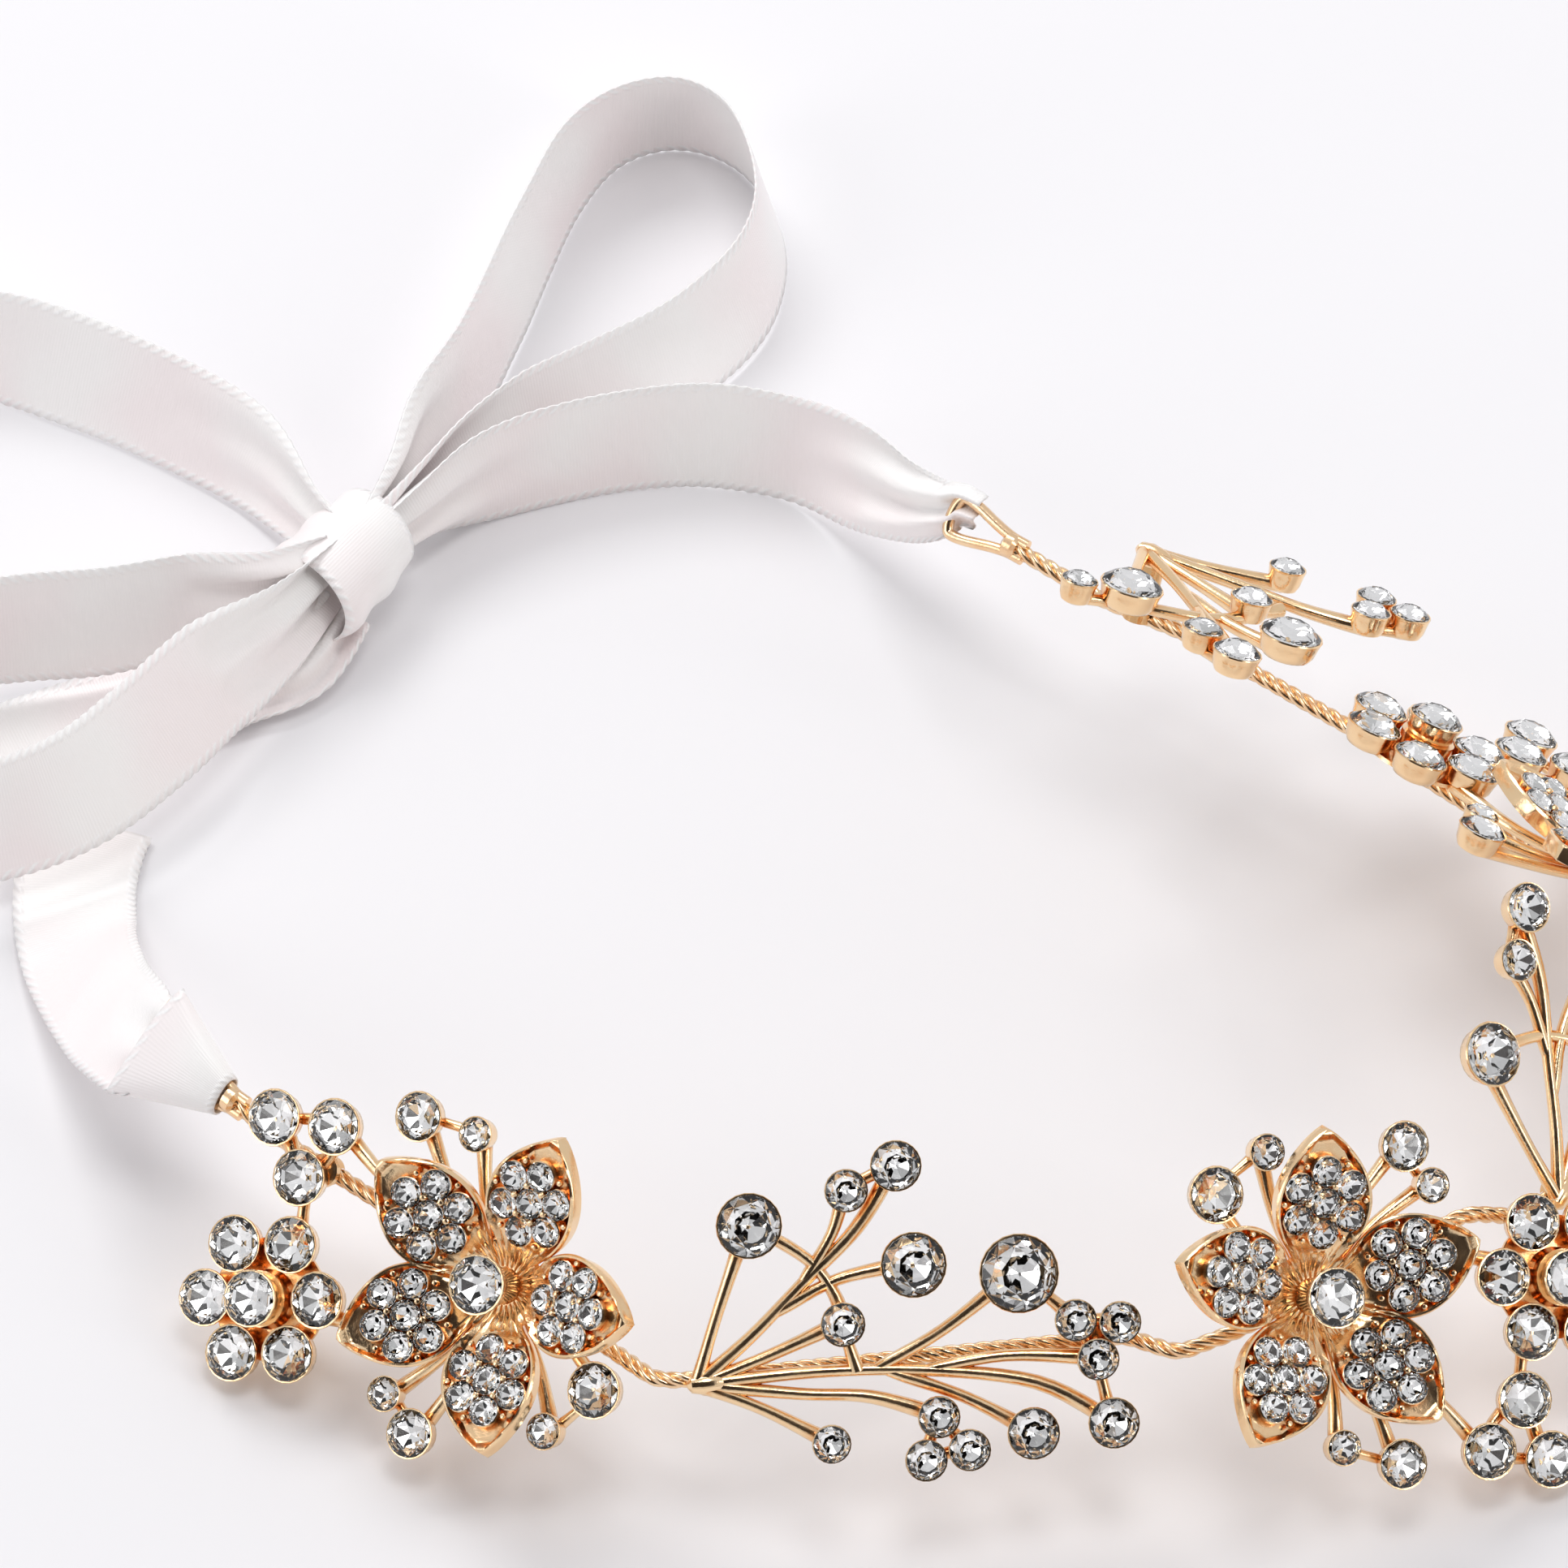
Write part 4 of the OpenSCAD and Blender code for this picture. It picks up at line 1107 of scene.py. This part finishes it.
def lay_ropes():
    whole = [WIRE_PATHS[0][0]]
    for path in WIRE_PATHS:
        whole += path[1:]
    middles = [path[1].lerp(path[2], 0.5) for path in WIRE_PATHS[:4]]
    middles += [path[-3].lerp(path[-2], 0.5) for path in WIRE_PATHS[4:]]
    fine = []
    for a, b in zip(whole, whole[1:]):
        steps = max(2, round((b - a).length / 3))
        fine += [a.lerp(b, k / steps) for k in range(steps)]
    lines = cut_line(rounded(fine + [whole[-1]], 2), middles)
    start = 0.0
    ropes = []
    for index, line in enumerate(lines):
        values = {**ROPE_BUILD, "Start": start * MM, "Material": gold_wire}
        name = f"rope_{index}"
        rope = add_object(name, made_by(rope_tree, name, line_mesh(name, line), values))
        for face in rope.data.polygons:
            face.use_smooth = True
        start += sum((b - a).length for a, b in zip(line, line[1:]))
        ropes.append(rope)
    print("length of the wire:", round(start), "mm")
    return ropes


ropes = lay_ropes()
ROPE_BODIES = ["left_flower", "front_spray", "right_flower", "right_spray", "back_flower", "back_spray"]
ROPE_NODES = ["left_wire", "front_wire", "right_wire", "side_wire", "back_wire", "end_wire"]
for index, rope in enumerate(ropes):
    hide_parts(ROPE_NODES[min(index, 5)])
    if index in (0, 6):
        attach(rope, ROPE_BODIES[min(index, 5)])
    else:
        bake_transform(rope)


# %% Bend the two eyes
def make_eye(name, eye, body):
    """Two legs of one strand, spread from beside the end of the wire to a straight bar."""
    bar, heading, _, tall = eye
    along, up, _ = face_axes(heading)
    neck = eye_neck(eye)
    half = tall / 2
    beside = 0.75 * up
    line = [neck + beside + 2.5 * along, neck + beside, bar + 0.8 * along + half * up,
            bar + (half - 1) * up, bar - (half - 1) * up, bar + 0.8 * along - half * up,
            neck - beside, neck - beside + 2.5 * along]
    line = rounded(line, 3)
    bm = bmesh.new()
    sweep(bm, line, [0.58] * len(line), 12)
    collar = [neck + along * k for k in (0, 0.3, 1.2, 1.6)]
    sweep(bm, collar, [0.9, 1.3, 1.3, 0.9], 20)
    piece = metal_piece(name + "_bend", bm, gold_wire, [name])
    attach(piece, body)


make_eye("left_eye", LEFT_EYE, "left_flower")
make_eye("right_eye", RIGHT_EYE, "back_spray")
for name, node in NODES.items():
    if name.endswith("_solder"):
        for slot in node.material_slots:
            slot.material = solder_finish

# %% [markdown]
# ## The ribbon
#
# Each length of ribbon is a strip swept along listed rows. A row gives the middle of
# the strip, its lean and its width. Where the ribbon is drawn in, its real width stays
# 12 mm: what is lost sideways goes into pleats. The woven edge is a row of tiny scallops.

# %% Rows of the ribbon lengths
W = 12.0
RIGHT_LEAD = [
    (96.6, -67.4, 18.9, -44, 0.3), (94.6, -66.2, 18.8, -42, 0.36),
    (92.4, -65.2, 17, -38, 0.5), (89, -60.5, 12.8, -30, 0.68), (84.4, -53.8, 9, -22, 0.95),
    (78.4, -48.2, 6.3, -18, 1), (70, -46.1, 6.1, -17, 1), (62, -46.7, 6.1, -15, 1),
    (54, -48.8, 6.1, -12, 1), (47, -52.1, 6.2, -8, 0.95), (41.2, -56.6, 6.4, -4, 0.7),
    (36.5, -60.5, 6.2, 0, 0.6),
]
RIGHT_LOOP = [
    (35, -59.5, 7, 0, 0.6), (38.4, -53.3, 7, 4, 0.7), (41.4, -46.1, 6.8, 10, 0.95), (45.6, -38.4, 6.5, 14, 1),
    (48.9, -29.4, 6.4, 15, 1), (52.1, -20, 6.3, 13, 1), (55.8, -10.6, 6.3, 8, 1),
    (60.6, -4.9, 6.3, 0, 1), (66.6, -3.2, 6.3, -4, 1), (72, -6.2, 6.3, -8, 1),
    (75.2, -13, 6.3, -12, 1), (75.8, -20.4, 6.3, -16, 1), (73.4, -27.6, 6.3, -20, 1),
    (67.6, -34.6, 6.3, -22, 1), (60, -40, 6.3, -22, 1), (52, -44.6, 6.5, -18, 1),
    (45.6, -49.1, 6.8, -10, 0.9), (40.6, -54.1, 7, -4, 0.7), (36.2, -59.8, 6.8, 0, 0.6),
]
LEFT_LOOP = [
    (33.2, -64.4, 7.2, -14, 0.62), (27.4, -73.1, 8.4, -26, 0.8), (20.6, -80.7, 9.4, -38, 1),
    (14.4, -88.4, 9.6, -42, 1),
    (7.8, -94.9, 9.4, -42, 1), (0, -98.9, 9.2, -36, 1), (-8, -100, 9, -24, 1),
    (-14.6, -95.8, 8.8, -8, 1), (-16.4, -88.2, 8.8, 4, 1), (-13.4, -80.2, 8.8, 12, 1),
    (-7, -75.6, 8.8, 18, 1), (1, -73.8, 8.8, 20, 1), (9.6, -72.7, 8.6, 20, 1),
    (17.6, -70.6, 8.8, 14, 1), (25.6, -68.6, 8.8, 6, 0.7), (31.5, -64.6, 7.6, 0, 0.6),
]
UPPER_TAIL = [
    (34.5, -61.8, 6.8, -4, 0.55), (30.6, -57.6, 6.6, -10, 0.7), (24.4, -49.5, 6.2, -20, 0.95),
    (16, -43.1, 6, -26, 1),
    (7, -37.9, 6, -27, 1), (-3, -33.9, 6, -24, 1), (-15, -32.3, 6, -20, 1),
    (-27, -34.7, 6.1, -16, 1), (-38, -40.5, 6.1, -14, 1), (-47, -48.9, 6.1, -14, 1),
]
LOWER_TAIL = [
    (33.4, -67.5, 4.6, -50, 0.5), (29, -73.5, 2.4, -70, 0.6), (22, -75.3, 2, -80, 0.85),
    (14, -77.9, 1.5, -86, 1),
    (5, -81.3, 1.2, -88, 1), (-5, -85.3, 0.9, -90, 1), (-16, -88.9, 0.8, -90, 1),
    (-28, -90.3, 0.8, -90, 1), (-40, -88.3, 0.8, -90, 1), (-51, -83.1, 0.8, -90, 1),
]
LEFT_LEAD = [
    (15.6, -134.4, 16.5, -45, 0.84), (13.9, -132.4, 15.8, -45, 0.97), (12, -128.2, 13.2, -46, 1),
    (10.4, -122.6, 9.2, -50, 1),
    (8.6, -115.6, 5.6, -60, 1), (7.4, -108.4, 2.4, -76, 1), (7, -101, 0.9, -88, 1),
    (7.8, -95.4, 0.6, -90, 1), (8.8, -92.2, 0.6, -90, 1),
]


# %% Make a strip from its frames
COLUMNS = 16
ROW_STEP = 0.42
PICOT = 1.26
PLEATS = 2.2
RIBBON_T = 0.3


def strip_piece(name, rows, body, nodes):
    """A woven strip from rows of (point, way it faces, place across in mm) for each column."""
    bm = bmesh.new()
    uv = bm.loops.layers.uv.new("ribbon")
    middles = [row[COLUMNS // 2][0] for row in rows]
    lengths = [0.0]
    for a, b in zip(middles, middles[1:]):
        lengths.append(lengths[-1] + (b - a).length)
    grid = []
    for row in rows:
        front, back = [], []
        for j, (point, face, v) in enumerate(row):
            half = RIBBON_T / 2 * (1 if 1 < j < COLUMNS - 1 else 0.75)
            front.append((bm.verts.new(point + half * face), v))
            back.append((bm.verts.new(point - half * face), v))
        grid.append(front + back[::-1])
    around = len(grid[0])

    def add_face(corners):
        face = bm.faces.new([c[0][0] for c in corners])
        for loop, ((_, v), at) in zip(face.loops, corners):
            loop[uv].uv = (lengths[at] / 10, v / 10)

    for i in range(len(grid) - 1):
        for k in range(around):
            n = (k + 1) % around
            add_face([(grid[i][k], i), (grid[i][n], i), (grid[i + 1][n], i + 1), (grid[i + 1][k], i + 1)])
    for i in (0, len(grid) - 1):
        row = grid[i]
        for k in range(COLUMNS):
            quad = (row[k], row[k + 1], row[around - 2 - k], row[around - 1 - k])
            add_face([(c, i) for c in quad])
    mesh = bpy.data.meshes.new(name)
    bmesh.ops.recalc_face_normals(bm, faces=bm.faces)
    bm.to_mesh(mesh)
    bm.free()
    mesh.transform(Matrix.Scale(MM, 4))
    mesh.materials.append(satin)
    for face in mesh.polygons:
        face.use_smooth = True
    piece = add_object(name, mesh)
    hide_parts(*nodes)
    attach(piece, body)
    print(name, "is", round(lengths[-1]), "mm long")


SLANT_ROWS = 40
TAIL_SLANT = 5


def woven_rows(frames, slant):
    """Rows from frames of (middle, rise, face, width share, pleat phase).

    rise runs across the ribbon and face stands out of it. What a narrow row loses in width
    goes into pleats, whose slope is chosen so that the ribbon's own width stays the same.
    The last rows are drawn out by slant, so that a tail ends in a slanted cut.
    """
    rows = []
    for i, (middle, rise, face, share, phase) in enumerate(frames):
        share = min(share, 1.0)
        slope = math.sqrt(max(4 * (1 / share - 1), 0))
        height = slope * W * share / (math.tau * PLEATS)
        go = rise.cross(face)
        cut = slant * max(0, 1 - (len(frames) - 1 - i) / SLANT_ROWS)
        row = []
        for j in range(COLUMNS + 1):
            t = 2 * j / COLUMNS - 1
            v = W / 2 * t
            if j in (0, COLUMNS):
                v += math.copysign(0.16 * math.sin(math.tau * i * ROW_STEP / PICOT), v)
            bend = height * math.sin(math.pi * PLEATS * t + phase)
            point = middle + v * share * rise + bend * face + t * cut * go
            row.append((point, face, v))
        rows.append(row)
    return rows


def row_frames(rows, seed):
    """Even, softly wavy frames along the listed rows."""
    points = [Vector((x, y, z)) + CROWN_SHIFT for x, y, z, _, _ in rows]
    extra = [Vector((lean, share, 0)) for _, _, _, lean, share in rows]
    line = smooth_line(points, 24)
    more = smooth_line(extra, 24)
    spots = [0.0]
    for a, b in zip(line, line[1:]):
        spots.append(spots[-1] + (b - a).length)
    count = round(spots[-1] / ROW_STEP)
    wander = random.Random(seed)
    tones = [(wander.uniform(16, 42), wander.uniform(0, math.tau)) for _ in range(3)]
    frames = []
    index = 0
    for k in range(count + 1):
        at = spots[-1] * k / count
        while index < len(spots) - 2 and spots[index + 1] < at:
            index += 1
        f = (at - spots[index]) / (spots[index + 1] - spots[index])
        middle = line[index].lerp(line[index + 1], f)
        lean, share, _ = more[index].lerp(more[index + 1], f)
        ahead = line[min(index + 3, len(line) - 1)]
        back = line[max(index - 2, 0)]
        go = (ahead - back).normalized()
        side = Vector((-go.y, go.x, 0)).normalized()
        soft = sum(math.sin(math.tau * at / wave + turn) for wave, turn in tones) / 3
        lean = math.radians(lean + 1.6 * soft)
        rise = math.cos(lean) * go.cross(side) + math.sin(lean) * side
        face = go.cross(rise).normalized()
        frames.append((middle, rise, face, share, seed + at / 9))
    return frames


LENGTHS = {
    "right_lead": (RIGHT_LEAD, "bow", "right_ribbon_lead"),
    "right_loop": (RIGHT_LOOP, "bow", "bow_right_loop"),
    "left_loop": (LEFT_LOOP, "bow", "bow_left_loop"),
    "upper_length": (UPPER_TAIL, "bow", "upper_tail"),
    "lower_length": (LOWER_TAIL, "bow", "lower_tail"),
    "left_lead": (LEFT_LEAD, "left_ribbon", "left_ribbon_lead"),
}
for index, (name, (rows, body, node)) in enumerate(LENGTHS.items()):
    slant = TAIL_SLANT if name.endswith("length") else 0
    strip_piece(name, woven_rows(row_frames(rows, index + 1), slant), body, [node])

# %% [markdown]
# ## The knot and the sleeve
#
# The knot is the same ribbon, wrapped once round the middle of the bow and tucked under.
# At the left eye the ribbon's end is wrapped into a flat cone that narrows on to the wire.

# %% Wrap the knot
KNOT_AT = shifted(33.2, -63.4, 6.4)
KNOT_HEADING = math.radians(53)
KNOT_STEPS = 96
KNOT_R = 4.9


def knot_rows():
    """One turn and a bit round the bow; the edges curl in and hug what they hold."""
    axis = Vector((math.cos(KNOT_HEADING), math.sin(KNOT_HEADING), 0))
    side = Vector((-axis.y, axis.x, 0))
    rows = []
    for k in range(KNOT_STEPS + 1):
        f = k / KNOT_STEPS
        a = math.radians(-75 - 400 * f)
        out = math.cos(a) * side + math.sin(a) * Vector((0, 0, 1))
        row = []
        for j in range(COLUMNS + 1):
            t = 2 * j / COLUMNS - 1
            curl = 0.3 * abs(t) ** 8 + 0.15 * t * t + 0.35 * t
            crease = 0.22 * math.sin(7 * t + 1.3 * math.sin(a)) * math.cos(a - 0.6) ** 2
            radius = KNOT_R + 0.45 * f - curl + crease
            oval = radius * (1.08 * math.cos(a) * side + 0.88 * math.sin(a) * Vector((0, 0, 1)))
            skew = 0.9 * math.sin(a + 0.5)
            row.append((KNOT_AT + oval + (5.9 * t + skew) * axis, out, W / 2 * t))
        rows.append(row)
    return rows


strip_piece("knot_wrap", knot_rows(), "bow", ["bow_knot"])


# %% Wrap the sleeve
SLEEVE_STEPS = 90


def sleeve_rows():
    """A flat cone: wide at the bar of the eye, and closed tightly on the wire."""
    along, up, out = face_axes(LEFT_EYE[1])
    rows = []
    for k in range(SLEEVE_STEPS + 1):
        f = k / SLEEVE_STEPS
        a = math.tau * 1.1 * f - 2.2
        grow = 1 + 0.1 * f
        flat = (math.copysign(abs(math.cos(a)) ** 0.75, math.cos(a)), math.sin(a))
        row = []
        for j in range(COLUMNS + 1):
            t = j / COLUMNS
            wide = (6.1 - 4.2 * t ** 0.9) * grow
            deep = (1.2 + 0.5 * math.sin(math.pi * t)) * grow
            shift = (0.9 * (1 - t) * math.cos(a) + 10.6 * t - 0.4) * along
            point = LEFT_BAR + shift + wide * flat[0] * up + deep * flat[1] * out
            face = (math.cos(a) / wide * up + math.sin(a) / deep * out).normalized()
            row.append((point, face, W * (t - 0.5)))
        rows.append(row)
    return rows


strip_piece("sleeve_wrap", sleeve_rows(), "left_flower", ["left_ribbon_sleeve"])
